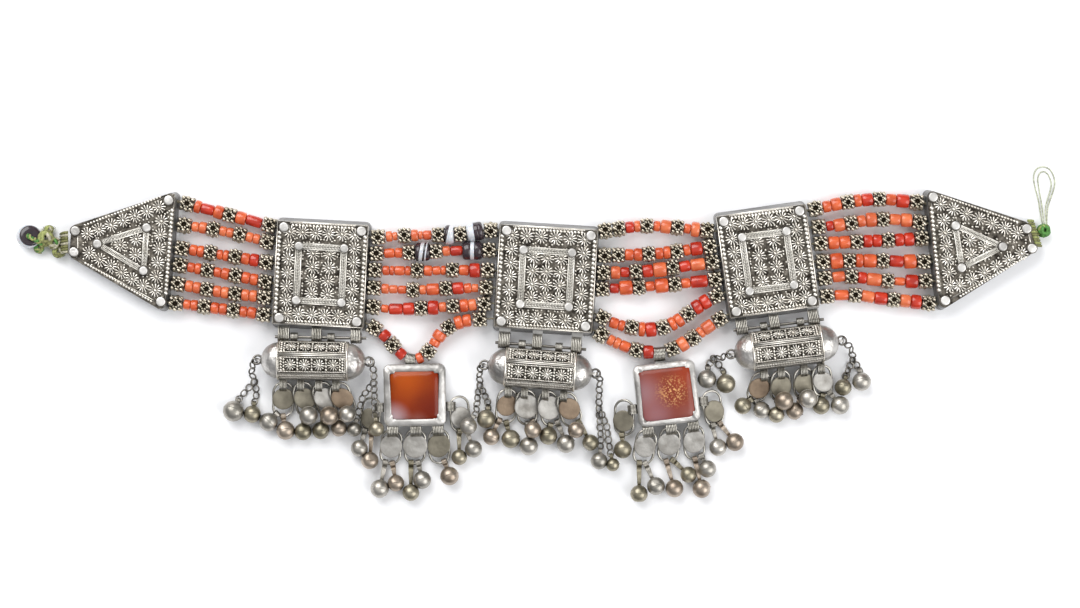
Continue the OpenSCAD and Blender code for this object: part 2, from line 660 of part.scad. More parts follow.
// A bell is the middle of its ball in plan, its radius, how far it is lifted off the surface, its
// place round the ring's lower end in degrees, and the number of its drop
bells_left = [
    [-104.8, -53.8, 3.2, 0, -45, 0], [-99, -57.8, 3.2, 0, 0, 0], [-92.4, -58.2, 3, 0, -36, 1],
    [-90, -52, 3.1, 3.3, 8, 1], [-82.2, -52, 3.1, 3.6, -5, 2], [-85.6, -57.8, 3, 0, -50, 2],
    [-75.4, -51.4, 2.8, 3.6, -5, 3], [-78.8, -57, 2.8, 0, -48, 3]
];
bells_centre = [
    [-20.8, -60.2, 2.9, 0, -40, 0], [-13.4, -61, 3.2, 0, 10, 0], [-6.6, -63.7, 3.2, 0, -5, 1],
    [-5, -57.4, 2.9, 3, 35, 1], [1, -59, 3.1, 0, -20, 2], [7.6, -62.8, 3.2, 0, 30, 2],
    [11.4, -57.4, 2.8, 3.8, 0, 3], [16.9, -62.4, 2.8, 0, 34, 3]
];
bells_right = [
    [75.8, -47.6, 2.9, 0, -28, 0], [82, -50, 2.9, 0, 12, 0], [90.2, -46.4, 3.1, 3.2, 30, 1],
    [87.6, -51.8, 2.8, 0, -15, 1], [99.4, -45.6, 3.2, 2.9, 35, 2], [94.6, -50.4, 3, 0, -20, 2],
    [104.6, -48.2, 3, 0, -10, 3], [111.8, -48.2, 3.2, 0, 40, 3]
];
bells_setting_left_list = [
    [-63.2, -79.9, 3.2, 0, -25, 0], [-57.1, -77.8, 2.9, 0, 20, 0], [-51.4, -81.4, 2.9, 0, -20, 1],
    [-47.1, -76.6, 3.1, 0, 25, 1], [-36.7, -75.1, 3.2, 0, 30, 2]
];
bells_side_left_list = [
    [-71, -64.6, 2.9, 0, -30, 3], [-67, -69.2, 3, 0, 15, 3], [-33, -68, 2.7, 0, -15, 4],
    [-27.6, -64.8, 3, 0, 30, 4]
];
bells_setting_right_list = [
    [35.4, -81.9, 3, 0, -14, 0], [41.8, -78.9, 3.1, 0, 25, 0], [48.8, -79.8, 3.1, 0, -3, 1],
    [54.2, -74.6, 2.8, 0, 38, 1], [61.4, -72.4, 3, 0, 45, 2], [59.2, -79.9, 3.2, 0, 0, 2]
];
bells_side_right_list = [
    [29.2, -65, 3.1, 0, -10, 3], [65.4, -64.2, 3, 0, -25, 4], [71.8, -62.2, 3.1, 0, 25, 4]
];

// The point of a drop's ring that a bell hangs on, and the ring's direction there
function ring_point(d, angle) = d[0] + turned(d[1],
    [ring_r * sin(angle), -d[3] / 2 - ring_r * cos(angle), 0] - d[2]);
function ring_way(d, angle) = turned(d[1], [cos(angle), sin(angle), 0]);
seam = 0.12;
bell_hole = 0.95;

// A ball with its seam, and a neck that ends reach from its middle if it hangs far from its loop
module ball(r, reach) {
    rotate_extrude() {
        intersection() {
            circle(r = r);
            translate([0, -r - 1]) square([r + 1, 2 * r + 2]);
        }
        translate([0, -0.25]) square([r + seam, 0.5]);
        if (reach > r + 0.05) translate([0, -reach]) square([0.55, reach]);
    }
}

// A bell hung on its ring: its loop is round the ring's wire and its ball rests on the surface
module bell(d, row) {
    hook = ring_point(d, row[4]);
    middle = [row[0], row[1], row[2] + seam + row[3]];
    near = row[2] + bail_r - 0.35;
    way = unit(middle - hook);
    pushed = hook + way * max(near, norm(middle - hook));
    ball_at = [pushed[0], pushed[1], max(pushed[2], row[2] + seam + 0.02)];
    tangent = ring_way(d, row[4]);
    side = unit(tangent - (tangent * way) * way);
    difference() {
        union() {
            translate(ball_at) towards(ball_at - hook) ball(row[2], norm(ball_at - hook) - 1);
            translate(hook) towards(side) cylinder(h = 0.9, r = bail_r, center = true, $fn = 32);
        }
        translate(hook) towards(side) cylinder(h = 1.6, r = bell_hole, center = true, $fn = 32);
    }
}

module bells(drop_list, bell_list) {
    color(dark_silver) for (row = bell_list) bell(drop_list[row[5]], row);
}

// A chain on the end of a drum: the drum and its end, its way down to the split, then a way to each
// of its two bells
link_r = 0.8;
end_loop_x = drum_l / 2 + dome_r + 0.65;
chains = [
    [0, -1, [[-111.7, -34, 5], [-111.6, -37, 2.6], [-111.2, -39.4, 1]],
     [[-114.5, -43, 1], [-117.4, -46.6, 1.8], [-118.8, -50.4, 3.7]],
     [[-110.3, -43.4, 1], [-111, -47, 1.8], [-111.7, -51.6, 3.1]], [3.6, 3]],
    [0, 1, [[-65.4, -34.8, 6.6], [-65.2, -37.4, 6.2], [-65.4, -39.8, 6]],
     [[-69.2, -44.4, 4.2], [-71, -50, 4], [-73, -57.4, 2.8]],
     [[-65, -45, 7], [-64.8, -50.4, 7], [-64.2, -57, 7.2]], [2.5, 2.6]],
    [1, -1, [[-25.2, -35, 5], [-25.2, -38, 2.6], [-25.2, -40.8, 1]],
     [[-26.2, -46, 1.6], [-26.6, -50.6, 4.4], [-29.4, -56, 6]],
     [[-23.4, -44.4, 1], [-22, -48.2, 1.6], [-22.8, -53.4, 3.3]], [2.9, 3.2]],
    [1, 1, [[20.4, -38.6, 5], [20.2, -44, 2.6], [20.2, -49.6, 1]],
     [[20.6, -56, 1], [20.9, -62.4, 1.4], [20.2, -69.4, 3.1]],
     [[23, -56, 1], [24, -63, 1.6], [25.4, -70.8, 3.2]], [2.9, 2.3]],
    [2, -1, [[67.2, -29.8, 5.4], [65.6, -30.2, 2.6], [63.8, -30.6, 1]],
     [[62.4, -32.2, 1], [61.6, -34, 1.8], [61.2, -38.2, 3.3]],
     [[66, -33, 1], [67.4, -35.2, 1.8], [68.4, -40, 3.4]], [3.2, 3.3]],
    [2, 1, [[115.6, -26.4, 5], [116.6, -29, 2.6], [116.9, -31.2, 1]],
     [[118.6, -33.4, 1], [119.6, -35.4, 1.8], [120, -39.2, 3.3]],
     [[115.6, -34, 1], [114.2, -37, 1.6], [113, -41.4, 3]], [3.2, 2.9]]
];
chain_starts = [for (c = chains) drum_point(c[0], [c[1] * (end_loop_x + 2.46), -0.2, 0.2])];

module branch(from, way, r) {
    p = spline(concat([from], way), 2);
    n = len(p) - 1;
    d = unit(p[n] - p[n - 1]);
    lead = [for (i = [0:n - 1]) if (norm(p[n] - p[i]) > r + 1) p[i]];
    tube(concat(lead, [for (f = [-1, -0.85, -0.45, 0, 0.45, 0.85, 1]) p[n] + f * r * d]),
        concat([for (q = lead) link_r],
        [for (f = [-1, -0.85, -0.45, 0, 0.45, 0.85, 1]) max(0.5, r * sqrt(1 - f * f))]), 10);
}

module chain(c, start) {
    split = c[2][2];
    drum_frame(c[0]) translate([c[1] * (end_loop_x + 1.15), 0, 0])
        rotate_extrude() translate([1.1, 0]) circle(r = 0.35, $fn = 16);
    even_tube(spline(concat([start], c[2]), 2), link_r, 8);
    branch(split, c[3], c[5][0]);
    branch(split, c[4], c[5][1]);
}

module chain_pair(first) {
    color(dark_silver) for (k = [first, first + 1]) chain(chains[k], chain_starts[k]);
}

module toggle_bead() {
    color("#26222a") translate([-196.8, 16, 3.3]) rotate([0, 8, 0]) rotate_extrude()
        polygon([[1.3, -2.4], [3.6, -2.4], [4.4, -1.4], [4.6, 0], [4.4, 1.4], [3.6, 2.4], [1.3, 2.4]]);
}

knot_r = 2.6;
module toggle_cord() {
    color("#7f8a3c") {
        tube([[-197.1, 16, 1], [-196.8, 16, 3.3], [-196.4, 16, 6], [-195.8, 15.8, 7.2],
            [-194.4, 15.2, 7.9], [-192.6, 14.4, 7.4], [-191.2, 13.6, 6], [-190, 13, 4.4],
            [-188, 13.4, 3.4], [-184.6, 14, 3.2], [-177.6, 14, 3.2]],
            [for (k = [0:10]) 0.8], 8, [0, 1, 0.2]);
        translate([-189.6, 12.9, 3.2]) hull() sphere(r = knot_r, $fn = 20);
        translate([-185.8, 14.6, 3.1]) hull() sphere(r = knot_r, $fn = 20);
    }
}

module loop_knot() {
    color("#3f7a35") {
        rod([189.9, 14, 3.2], [182.4, 14, 3.2], 0.8);
        translate([189.9, 16.2, 3.2]) sphere(r = knot_r);
    }
}

loop_r = 0.25;
outer_turn = [[189.2, 19, 2.6], [189, 21.4, 1.4], [188.4, 26, 0.4], [187.8, 30, 0.3],
    [186.6, 34.6, 0.3], [186, 38.6, 0.3], [187, 41.6, 0.3], [189.6, 42.6, 0.3], [192.2, 41.6, 0.3],
    [193.8, 38.6, 0.3], [194, 35.4, 0.3], [192.8, 31.4, 0.3], [191.4, 27, 0.4], [190.8, 22, 1.4],
    [190.6, 19, 2.6]];
inner_turn = [[189.6, 19, 3.4], [189.5, 21.8, 2.4], [189.2, 26, 0.9], [188.8, 30, 0.3],
    [188, 34.6, 0.3], [187.6, 38, 0.3], [188.4, 40.2, 0.3], [190, 40.8, 0.3], [191.6, 39.6, 0.3],
    [192.6, 37, 0.3], [192.6, 34.6, 0.3], [191.6, 31.2, 0.3], [190.4, 27, 0.9], [190.3, 22.2, 2.4],
    [190.3, 19, 3.4]];

module loop_thread_outer() {
    color("#d8dbc4") even_tube(spline(outer_turn, 3), loop_r, 8);
}

module loop_thread_inner() {
    color("#d8dbc4") even_tube(spline(inner_turn, 3), loop_r, 8);
}

// The outer strings run into the boxes along the bores that the inner threads share
module left_string(k) {
    p = route(gap_1[k]);
    n = len(p) - 1;
    color(coral_red) string(gap_1[k], unit(p[0] - p[1]), unit(route(gap_2[k])[0] - p[n]));
}

module right_string(k) {
    p = route(gap_4[k]);
    n = len(p) - 1;
    before = route(gap_3[k]);
    color(coral_red) string(gap_4[k], unit(before[len(before) - 1] - p[0]), unit(p[n] - p[n - 1]));
}

triangle_left();
triangle_right();
box(0, gap_1, gap_2);  // box_left
box(1, gap_2, gap_3);  // box_centre
box(2, gap_3, gap_4);  // box_right
drum(0);  // drum_left
drum(1);  // drum_centre
drum(2);  // drum_right
hinge_wire(0);  // hinge_wire_left
hinge_wire(1);  // hinge_wire_centre
hinge_wire(2);  // hinge_wire_right
setting(0, gap_2[5]);  // setting_left
setting(1, gap_3[5]);  // setting_right
carnelian(0);  // carnelian_left
carnelian(1);  // carnelian_right
threads();
color(dark_silver) place_beads(gap_2, 0);  // silver_beads_left
color(dark_silver) place_beads(gap_3, 0);  // silver_beads_right
color(coral_red) place_beads(gap_2, 1);  // coral_beads_left
color(coral_red) place_beads(gap_3, 1);  // coral_beads_right
color("#4a3f4c") place_beads(gap_2, 2);  // agate_beads
for (k = [0:5]) {
    left_string(k);
    right_string(k);
}
drops(left_drops);  // drops_drum_left
drops(centre_drops);  // drops_drum_centre
drops(right_drops);  // drops_drum_right
drops(setting_left_drops);  // drops_setting_left
drops(setting_right_drops);  // drops_setting_right
bells(left_drops, bells_left);  // bells_drum_left
bells(centre_drops, bells_centre);  // bells_drum_centre
bells(right_drops, bells_right);  // bells_drum_right
bells(setting_left_drops, bells_setting_left_list);  // bells_setting_left
bells(setting_right_drops, bells_setting_right_list);  // bells_setting_right
bells(setting_left_drops, bells_side_left_list);  // bells_side_left
bells(setting_right_drops, bells_side_right_list);  // bells_side_right
chain_pair(0);  // chains_left
chain_pair(2);  // chains_centre
chain_pair(4);  // chains_right
toggle_bead();
toggle_cord();
loop_knot();
loop_thread_outer();
loop_thread_inner();
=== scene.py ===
import math
import random

import bmesh
import bpy
import numpy as np
from mathutils import Matrix, Vector


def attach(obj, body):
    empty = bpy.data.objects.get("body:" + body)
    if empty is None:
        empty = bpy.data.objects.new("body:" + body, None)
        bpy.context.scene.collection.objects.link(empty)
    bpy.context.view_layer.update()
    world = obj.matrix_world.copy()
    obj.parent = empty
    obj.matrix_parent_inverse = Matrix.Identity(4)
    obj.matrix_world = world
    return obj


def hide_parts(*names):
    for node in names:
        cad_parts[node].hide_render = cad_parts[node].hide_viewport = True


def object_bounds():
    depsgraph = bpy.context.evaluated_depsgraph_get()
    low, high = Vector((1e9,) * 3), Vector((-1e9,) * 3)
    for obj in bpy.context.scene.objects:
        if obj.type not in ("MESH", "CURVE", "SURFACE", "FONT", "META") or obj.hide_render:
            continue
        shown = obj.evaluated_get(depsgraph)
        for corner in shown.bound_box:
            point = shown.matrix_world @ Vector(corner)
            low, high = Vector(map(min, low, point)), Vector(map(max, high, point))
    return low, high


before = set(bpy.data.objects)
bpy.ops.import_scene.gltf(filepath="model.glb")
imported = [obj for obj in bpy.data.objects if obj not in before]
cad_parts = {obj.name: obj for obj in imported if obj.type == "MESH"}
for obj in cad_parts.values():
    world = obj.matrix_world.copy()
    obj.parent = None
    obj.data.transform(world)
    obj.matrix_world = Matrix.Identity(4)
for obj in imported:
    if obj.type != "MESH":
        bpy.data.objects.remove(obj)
cad_lo, cad_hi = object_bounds()

MM = 0.001
random.seed(7)

# The frame's own box, in millimetres; nothing is drawn past it or under the floor
BOX_MARGIN = 0.02
BOX_LOW = np.array(cad_lo) / MM + BOX_MARGIN
BOX_HIGH = np.array(cad_hi) / MM - BOX_MARGIN

# The photograph's frame: its middle, its width and how high above the surface it is that wide
FRAME_X = -2.28
FRAME_Y = -9.7
FRAME_W = 410.4
FOCUS_Z = 4
LENS = 85
SENSOR = 36

# Plates, boxes and drums
PLATE_T = 7
BOX_H = 42
END_TAPER = 1.6
SIDE_TAPER = 0.6
DRUM_L = 26
DRUM_R = 7.6
DOME_R = 6.9
DRUM_REACH = 8.9
DRUM_Z = 7.4
DRUM_PANELS = (11, -49)
END_LOOP_X = DRUM_L / 2 + DOME_R + 0.65
HINGES = [[[-85.5, -22.4], -1], [[-2, -25.6], -4.4], [[88.2, -17.6], 7]]
DRUM_SHIFTS = [-2.5, 0.4, 1.8]
DROP_LOOPS = [[-11.4, -4.8, 2.1, 8.6], [-11.4, -5.2, 2.7, 9.7], [-9.5, -3, 5.7, 12.2]]
DROP_LOOP_Y = 8.45
DROP_LOOP_Z = 5.1
BOXES = [[[-85.5, 1.5], -3, 35.8], [[0, 0], -3.5, 38.4], [[84, 6.5], 8, 35.4]]
SIDES = ("left", "centre", "right")
CORNERS = [(-1, -1), (1, -1), (1, 1), (-1, 1)]

# Stone settings
SETTING_W = 23.4
BEZEL_W = 2.4
SETTINGS = [[[-49.8, -44.2], 1], [[45.8, -43.6], 6.5]]
SETTING_LOOPS = [-8.6, 0.2, 8.6]
SETTING_LOOP_Z = 4.6
SIDE_LOOP_Y = -4.6

# Drops and bells
RING_R = 3.7
RING_WIRE_R = 0.485
SEAM = 0.12
BAIL_R = 1.35

# Strands
STRAND_Z = PLATE_T / 2 + 0.15
BEAD_GAP = 0.26
END_GAP = 0.9
STRING_R = 0.45
STRING_SPARE = 3.5
AGATE_SPARE = 0.3

# Granule beads: their size, their two grains, the ring of small grains round each hole, and how far the
# beads at a strand's ends reach outward
BERRY_L = 4.6
BERRY_W = 5.4
GRAIN_R = 0.66
SMALL_GRAIN_R = 0.53
HOLE_RING_R = 1.22
BERRY_SWELL = 1.06
END_SWELL = 0.1
END_REACH = 0.42

# Kinds of bead, and corals that recur, as length and diameter
SILVER, CORAL, AGATE, BAIL = range(4)
SMALL = (3, 3.6)
ROUND = (3.4, 4.2)
LONG = (5, 4.4)
WIDE = (4.4, 5.2)


def strand(points, groups, gap=BEAD_GAP, end=END_GAP):
    """A strand's route, its beads as length, diameter and kind, and the gaps between them and at the ends.

    A silver bead is at each end and between two groups, and a pair in a group is a coral.
    """
    silver = (BERRY_L, BERRY_W, SILVER)
    beads = [silver]
    for group in groups:
        beads += [b if len(b) == 3 else (*b, CORAL) for b in group] + [silver]
    return points, beads, gap, end


GAPS = {
    1: [
        strand([[-139, 29], [-120, 24], [-102.4, 19.6]],
               [[(2.3, 4.6), (4.9, 3.8), (3.4, 4.8)], [(3.8, 4.6), (6, 3.8)]]),
        strand([[-140.2, 20.4], [-125, 18.4], [-103.2, 13.4]],
               [[SMALL, ROUND], [SMALL, SMALL], [SMALL, SMALL]]),
        strand([[-141, 11.9], [-121, 8.6], [-103.5, 5.8]],
               [[(3.8, 4), ROUND], [SMALL, (2.7, 4)], [(4.2, 4.2), (4.6, 4.6)]]),
        strand([[-141.8, 5.4], [-122, 1.8], [-103.9, -1.8]],
               [[SMALL, (2.7, 4)], [SMALL, ROUND], [ROUND, ROUND]]),
        strand([[-142.6, -1.6], [-122, -5.4], [-104.2, -7.3]],
               [[ROUND, ROUND], [ROUND, ROUND], [ROUND, ROUND]]),
        strand([[-143.4, -9], [-125, -11.4], [-104.5, -14]],
               [[SMALL, (3, 4)], [ROUND, ROUND], [(3, 4), (3.8, 4.2)]]),
    ],
    2: [
        strand([[-66.6, 15.6], [-50, 16.4], [-33, 16.8], [-24, 18.3], [-18.2, 18.4]],
               [[(3, 3.8), (2.3, 3)], [ROUND, (1.9, 3), (4.2, 3.4)], [(4.2, 7, AGATE)],
                [(8.4, 6.6, AGATE)]], 0.45, 0.9),
        strand([[-67.2, 9.4], [-54, 9.8], [-40, 10.4], [-28, 10.6], [-18.8, 10.8]],
               [[(4.2, 3.4), SMALL], [(5.6, 6.6, AGATE)], [SMALL, (4.9, 3.6), (7.6, 6.6, AGATE)]]),
        strand([[-67.8, 3.2], [-50, 2.9], [-33, 3.2], [-19.4, 2.9]],
               [[(2.8, 3.4), (1.7, 3.4), (4.3, 3.4), (2.3, 3.4)], [(3.4, 3.8), (3.4, 3.2), (1.9, 3.4)],
                [(4.2, 3.8), WIDE]]),
        strand([[-68.2, -3.4], [-51, -4.4], [-38, -3.8], [-20, -3.6]],
               [[SMALL, (3.4, 3), (3.4, 3)], [(2.7, 3.4), (5.3, 4.2)], [(4.6, 4.4), SMALL, (2.7, 3)]]),
        strand([[-68.6, -10.4], [-60, -11.6], [-48, -11.4], [-34, -10.5], [-20.4, -9.4]],
               [[(3, 2.9), (5.7, 4), (4.7, 4.6)], [WIDE, SMALL], [(3.4, 4.6), (3.2, 4.2)]], 0.4, 1.2),
        strand([[-69, -16.8], [-64.6, -19], [-60.6, -22.4], [-57.4, -26.4], [-53.8, -29.6], [-49.6, -30.6],
                [-45.6, -29], [-42.8, -25.2], [-40, -21], [-36, -17.8], [-30, -16], [-20.9, -15.2]],
               [[(4.4, 4)], [(4.4, 3.6), (3.4, 0, BAIL), SMALL], [SMALL, (4.6, 4.4)],
                [(3.8, 4.6), (4, 4.2)]], 1.05, 2.4),
    ],
    3: [
        strand([[19.8, 17.6], [30, 19.2], [38, 20], [49, 19.4], [64, 17.8]],
               [[], [(3.8, 4.2), (2.7, 4.2)], [(3, 3.8), (4.6, 4.9)], [SMALL, (3.8, 5.4)]]),
        strand([[19.4, 8.8], [38, 9.2], [50, 10.4], [65, 12.4]],
               [[], [(3.8, 4.2), (3.6, 4.6)], [ROUND, (3, 4.6)], [(3, 4), (5.1, 4.9)]]),
        strand([[19, 2], [38, 2.8], [48, 4], [66, 6.4]],
               [[(3.2, 4.6), SMALL], [(3.6, 4.6), (4.6, 5.3)], [(3.8, 4), LONG]]),
        strand([[18.6, -4.2], [36, -3.2], [48, -2.4], [67, 0]],
               [[SMALL, WIDE], [SMALL, WIDE], [SMALL, (5.7, 4.4)]]),
        strand([[17.9, -13], [25, -16.6], [32, -18.6], [41, -19.4], [49, -16.8], [56, -11.8], [62, -8],
                [68.6, -5]],
               [[(4.6, 3.6), SMALL], [(3, 4.8), (5.7, 4.9)], [(3, 4.6), (3.8, 4.6)],
                [(4.6, 4.8), (4.9, 4.8)]], 0.7, 2.2),
        strand([[17.5, -19.2], [24, -23.2], [34, -27.2], [43, -28], [50, -26], [57, -21.8], [63, -17.4],
                [69.6, -13.4]],
               [[SMALL, (2.7, 3.8), (4.9, 3.6)], [(4.9, 4.4), (4, 0, BAIL)], [(4.6, 4.8)],
                [(2.3, 3.8), (6, 4.2)]], 0.6, 2.2),
    ],
    4: [
        strand([[99.6, 25.9], [107, 27.4], [115, 29.2], [127, 30.2], [136, 29.4], [143.6, 28.6]],
               [[ROUND, (4.2, 4.6)], [(3, 4.6), (4.6, 4.6)], [(4.2, 4.2), (5.3, 4.9)]]),
        strand([[100.8, 19.4], [112, 20.4], [124, 22.4], [137, 22.2], [144.6, 21]],
               [[SMALL, (4.6, 4.6)], [ROUND, WIDE], [(4.6, 4), (4.6, 4.9)]]),
        strand([[101.6, 13.2], [118, 14], [132, 14.6], [145.5, 15.2]],
               [[(4.6, 4.6), (4.6, 4.6)], [(3.8, 4.6), (3.8, 4.6)], [(3.8, 4.6), (4.2, 4.9)]]),
        strand([[102.4, 6.4], [116, 6.8], [130, 6.6], [146.3, 6.4]],
               [[(4.6, 5.6)], [(2.7, 4.9), (4.9, 4.9)], [(5.3, 4.2), (4.6, 5.2)]]),
        strand([[103.2, -0.2], [115, 0.8], [130, -1], [147, -1]],
               [[(4.9, 3.8)], [ROUND, (5.7, 4.6)], [(4.2, 3), (4.9, 4.9)]]),
        strand([[104, -7], [116, -6.2], [129, -7.8], [148.2, -9.6]],
               [[(4.6, 3.8)], [(4.2, 4.2), (4.2, 4.6)], [(3.4, 4.6), (3.4, 5.2)]]),
    ],
}

# Bells: where each lies, its radius, how far it is raised, where it hooks round its ring, and which ring
BELLS = {
    "bells_drum_left": [
        [-104.8, -53.8, 3.2, 0, -45, 0], [-99, -57.8, 3.2, 0, 0, 0], [-92.4, -58.2, 3, 0, -36, 1],
        [-90, -52, 3.1, 3.3, 8, 1], [-82.2, -52, 3.1, 3.6, -5, 2], [-85.6, -57.8, 3, 0, -50, 2],
        [-75.4, -51.4, 2.8, 3.6, -5, 3], [-78.8, -57, 2.8, 0, -48, 3]
    ],
    "bells_drum_centre": [
        [-20.8, -60.2, 2.9, 0, -40, 0], [-13.4, -61, 3.2, 0, 10, 0], [-6.6, -63.7, 3.2, 0, -5, 1],
        [-5, -57.4, 2.9, 3, 35, 1], [1, -59, 3.1, 0, -20, 2], [7.6, -62.8, 3.2, 0, 30, 2],
        [11.4, -57.4, 2.8, 3.8, 0, 3], [16.9, -62.4, 2.8, 0, 34, 3]
    ],
    "bells_drum_right": [
        [75.8, -47.6, 2.9, 0, -28, 0], [82, -50, 2.9, 0, 12, 0], [90.2, -46.4, 3.1, 3.2, 30, 1],
        [87.6, -51.8, 2.8, 0, -15, 1], [99.4, -45.6, 3.2, 2.9, 35, 2], [94.6, -50.4, 3, 0, -20, 2],
        [104.6, -48.2, 3, 0, -10, 3], [111.8, -48.2, 3.2, 0, 40, 3]
    ],
    "bells_setting_left": [
        [-63.2, -79.9, 3.2, 0, -25, 0], [-57.1, -77.8, 2.9, 0, 20, 0], [-51.4, -81.4, 2.9, 0, -20, 1],
        [-47.1, -76.6, 3.1, 0, 25, 1], [-36.7, -75.1, 3.2, 0, 30, 2]
    ],
    "bells_side_left": [
        [-71, -64.6, 2.9, 0, -30, 3], [-67, -69.2, 3, 0, 15, 3], [-33, -68, 2.7, 0, -15, 4],
        [-27.6, -64.8, 3, 0, 30, 4]
    ],
    "bells_setting_right": [
        [35.4, -81.9, 3, 0, -14, 0], [41.8, -78.9, 3.1, 0, 25, 0], [48.8, -79.8, 3.1, 0, -3, 1],
        [54.2, -74.6, 2.8, 0, 38, 1], [61.4, -72.4, 3, 0, 45, 2], [59.2, -79.9, 3.2, 0, 0, 2]
    ],
    "bells_side_right": [
        [29.2, -65, 3.1, 0, -10, 3], [65.4, -64.2, 3, 0, -25, 4], [71.8, -62.2, 3.1, 0, 25, 4]
    ],
}
# Chains: the drum, its side, the route to the split, the two routes from it and their bells' radii
CHAINS = [
    [0, -1, [[-111.7, -34, 5], [-111.6, -37, 2.6], [-111.2, -39.4, 1]],
     [[-114.5, -43, 1], [-117.4, -46.6, 1.8], [-118.8, -50.4, 3.7]],
     [[-110.3, -43.4, 1], [-111, -47, 1.8], [-111.7, -51.6, 3.1]], [3.6, 3]],
    [0, 1, [[-65.4, -34.8, 6.6], [-65.2, -37.4, 6.2], [-65.4, -39.8, 6]],
     [[-69.2, -44.4, 4.2], [-71, -50, 4], [-73, -57.4, 2.8]],
     [[-65, -45, 7], [-64.8, -50.4, 7], [-64.2, -57, 7.2]], [2.5, 2.6]],
    [1, -1, [[-25.2, -35, 5], [-25.2, -38, 2.6], [-25.2, -40.8, 1]],
     [[-26.2, -46, 1.6], [-26.6, -50.6, 4.4], [-29.4, -56, 6]],
     [[-23.4, -44.4, 1], [-22, -48.2, 1.6], [-22.8, -53.4, 3.3]], [2.9, 3.2]],
    [1, 1, [[20.4, -38.6, 5], [20.2, -44, 2.6], [20.2, -49.6, 1]],
     [[20.6, -56, 1], [20.9, -62.4, 1.4], [20.2, -69.4, 3.1]],
     [[23, -56, 1], [24, -63, 1.6], [25.4, -70.8, 3.2]], [2.9, 2.3]],
    [2, -1, [[67.2, -29.8, 5.4], [65.6, -30.2, 2.6], [63.8, -30.6, 1]],
     [[62.4, -32.2, 1], [61.6, -34, 1.8], [61.2, -38.2, 3.3]],
     [[66, -33, 1], [67.4, -35.2, 1.8], [68.4, -40, 3.4]], [3.2, 3.3]],
    [2, 1, [[115.6, -26.4, 5], [116.6, -29, 2.6], [116.9, -31.2, 1]],
     [[118.6, -33.4, 1], [119.6, -35.4, 1.8], [120, -39.2, 3.3]],
     [[115.6, -34, 1], [114.2, -37, 1.6], [113, -41.4, 3]], [3.2, 2.9]]
]

# Which corals are the redder ones, by gap and strand, counted from the left without the silver beads
RED_CORALS = {
    (1, 0): [2, 5], (1, 2): [6],
    (2, 1): [4], (2, 2): [9], (2, 3): [6], (2, 4): [2, 3, 4], (2, 5): [1, 2],
    (3, 0): [1], (3, 1): [6], (3, 2): [2, 3, 5], (3, 3): [1, 6], (3, 4): [4, 7, 8], (3, 5): [4],
    (4, 0): [4, 6], (4, 1): [1], (4, 2): [3, 4, 5, 6], (4, 3): [4], (4, 4): [2, 5], (4, 5): [3, 5],
}
# Agates in order: how far each slants, and its bands as start, end and whether it is white
AGATES = [
    [14, [[-0.5, -0.2, 0], [-0.2, 0, 1], [0, 0.5, 1]]],
    [3, [[-0.5, -0.07, 1], [-0.07, 0.2, 0], [0.2, 0.5, 0]]],
    [12, [[-0.5, -0.2, 0], [-0.2, 0.06, 1], [0.06, 0.2, 0], [0.2, 0.3, 1], [0.3, 0.5, 0]]],
    [2, [[-0.5, -0.1, 0], [-0.1, 0.1, 1], [0.1, 0.5, 0]]],
]

# The discs of each set of drops: the look, the radius, and how far it leans, in degrees
DISCS = {
    "drops_drum_left": [(1, 4.2, 0), (1, 4.5, 32), (0, 4.5, 34), (2, 4.5, 36)],
    "drops_drum_centre": [(2, 4.2, -18), (0, 4.75, 0), (0, 4.65, 0), (2, 4.4, 24)],
    "drops_drum_right": [(2, 4.1, 0), (1, 4.3, 8), (1, 4.4, 26), (0, 4.4, 40)],
    "drops_setting_left": [(0, 4.5, 12), (0, 4.7, 0), (1, 4.7, -24), (1, 4.0, 20), (0, 4.1, 8)],
    "drops_setting_right": [(0, 4.3, 14), (0, 4.4, 0), (0, 4.5, -22), (1, 4.1, 0), (1, 4.2, 10)],
}


def vec(x, y, z=0.0):
    return np.array([x, y, z], float)


def unit(v):
    return v / np.linalg.norm(v)


def circle(r, steps, squash=1.0):
    """Points round the Z axis."""
    turns = [2 * math.pi * k / steps for k in range(steps)]
    return [[r * math.cos(a), r * math.sin(a) * squash, 0] for a in turns]


def spline(points, n):
    p = [np.array(q, float) for q in points]
    out = []
    for i in range(len(p) - 1):
        a, b, c, d = p[max(i - 1, 0)], p[i], p[i + 1], p[min(i + 2, len(p) - 1)]
        for k in range(n):
            t = k / n
            out.append(0.5 * (2 * b + (c - a) * t + (2 * a - 5 * b + 4 * c - d) * t * t
                              + (3 * b - a - 3 * c + d) * t ** 3))
    out.append(p[-1])
    return out


def arc_lengths(p):
    return np.cumsum([0.0] + [float(np.linalg.norm(b - a)) for a, b in zip(p, p[1:])])


def along(p, sums, s):
    i = max([k for k in range(len(p) - 1) if sums[k] <= s] or [0])
    return p[i] + (p[i + 1] - p[i]) * (s - sums[i]) / (sums[i + 1] - sums[i])


def between(a, b, n):
    """Points from a to b in n steps."""
    a, b = np.array(a, float), np.array(b, float)
    return [a + (b - a) * k / max(1, n) for k in range(n + 1)]


def route(points):
    return spline([[*q, STRAND_Z] for q in points], 8)


def rows(points, beads, gap, end):
    """A strand's beads as start, end, diameter and kind; corals and agates are stretched to fill it."""
    stretched = (CORAL, AGATE)
    fixed = sum(b[0] for b in beads if b[2] not in stretched) + gap * (len(beads) - 1) + 2 * end
    k = (arc_lengths(route(points))[-1] - fixed) / sum(b[0] for b in beads if b[2] in stretched)
    out, s = [], end
    for length, diameter, kind in beads:
        length *= k if kind in stretched else 1
        out.append([s, s + length, diameter, kind])
        s += length + gap
    return out


def rot(axis, degrees):
    return np.array(Matrix.Rotation(math.radians(degrees), 3, axis))


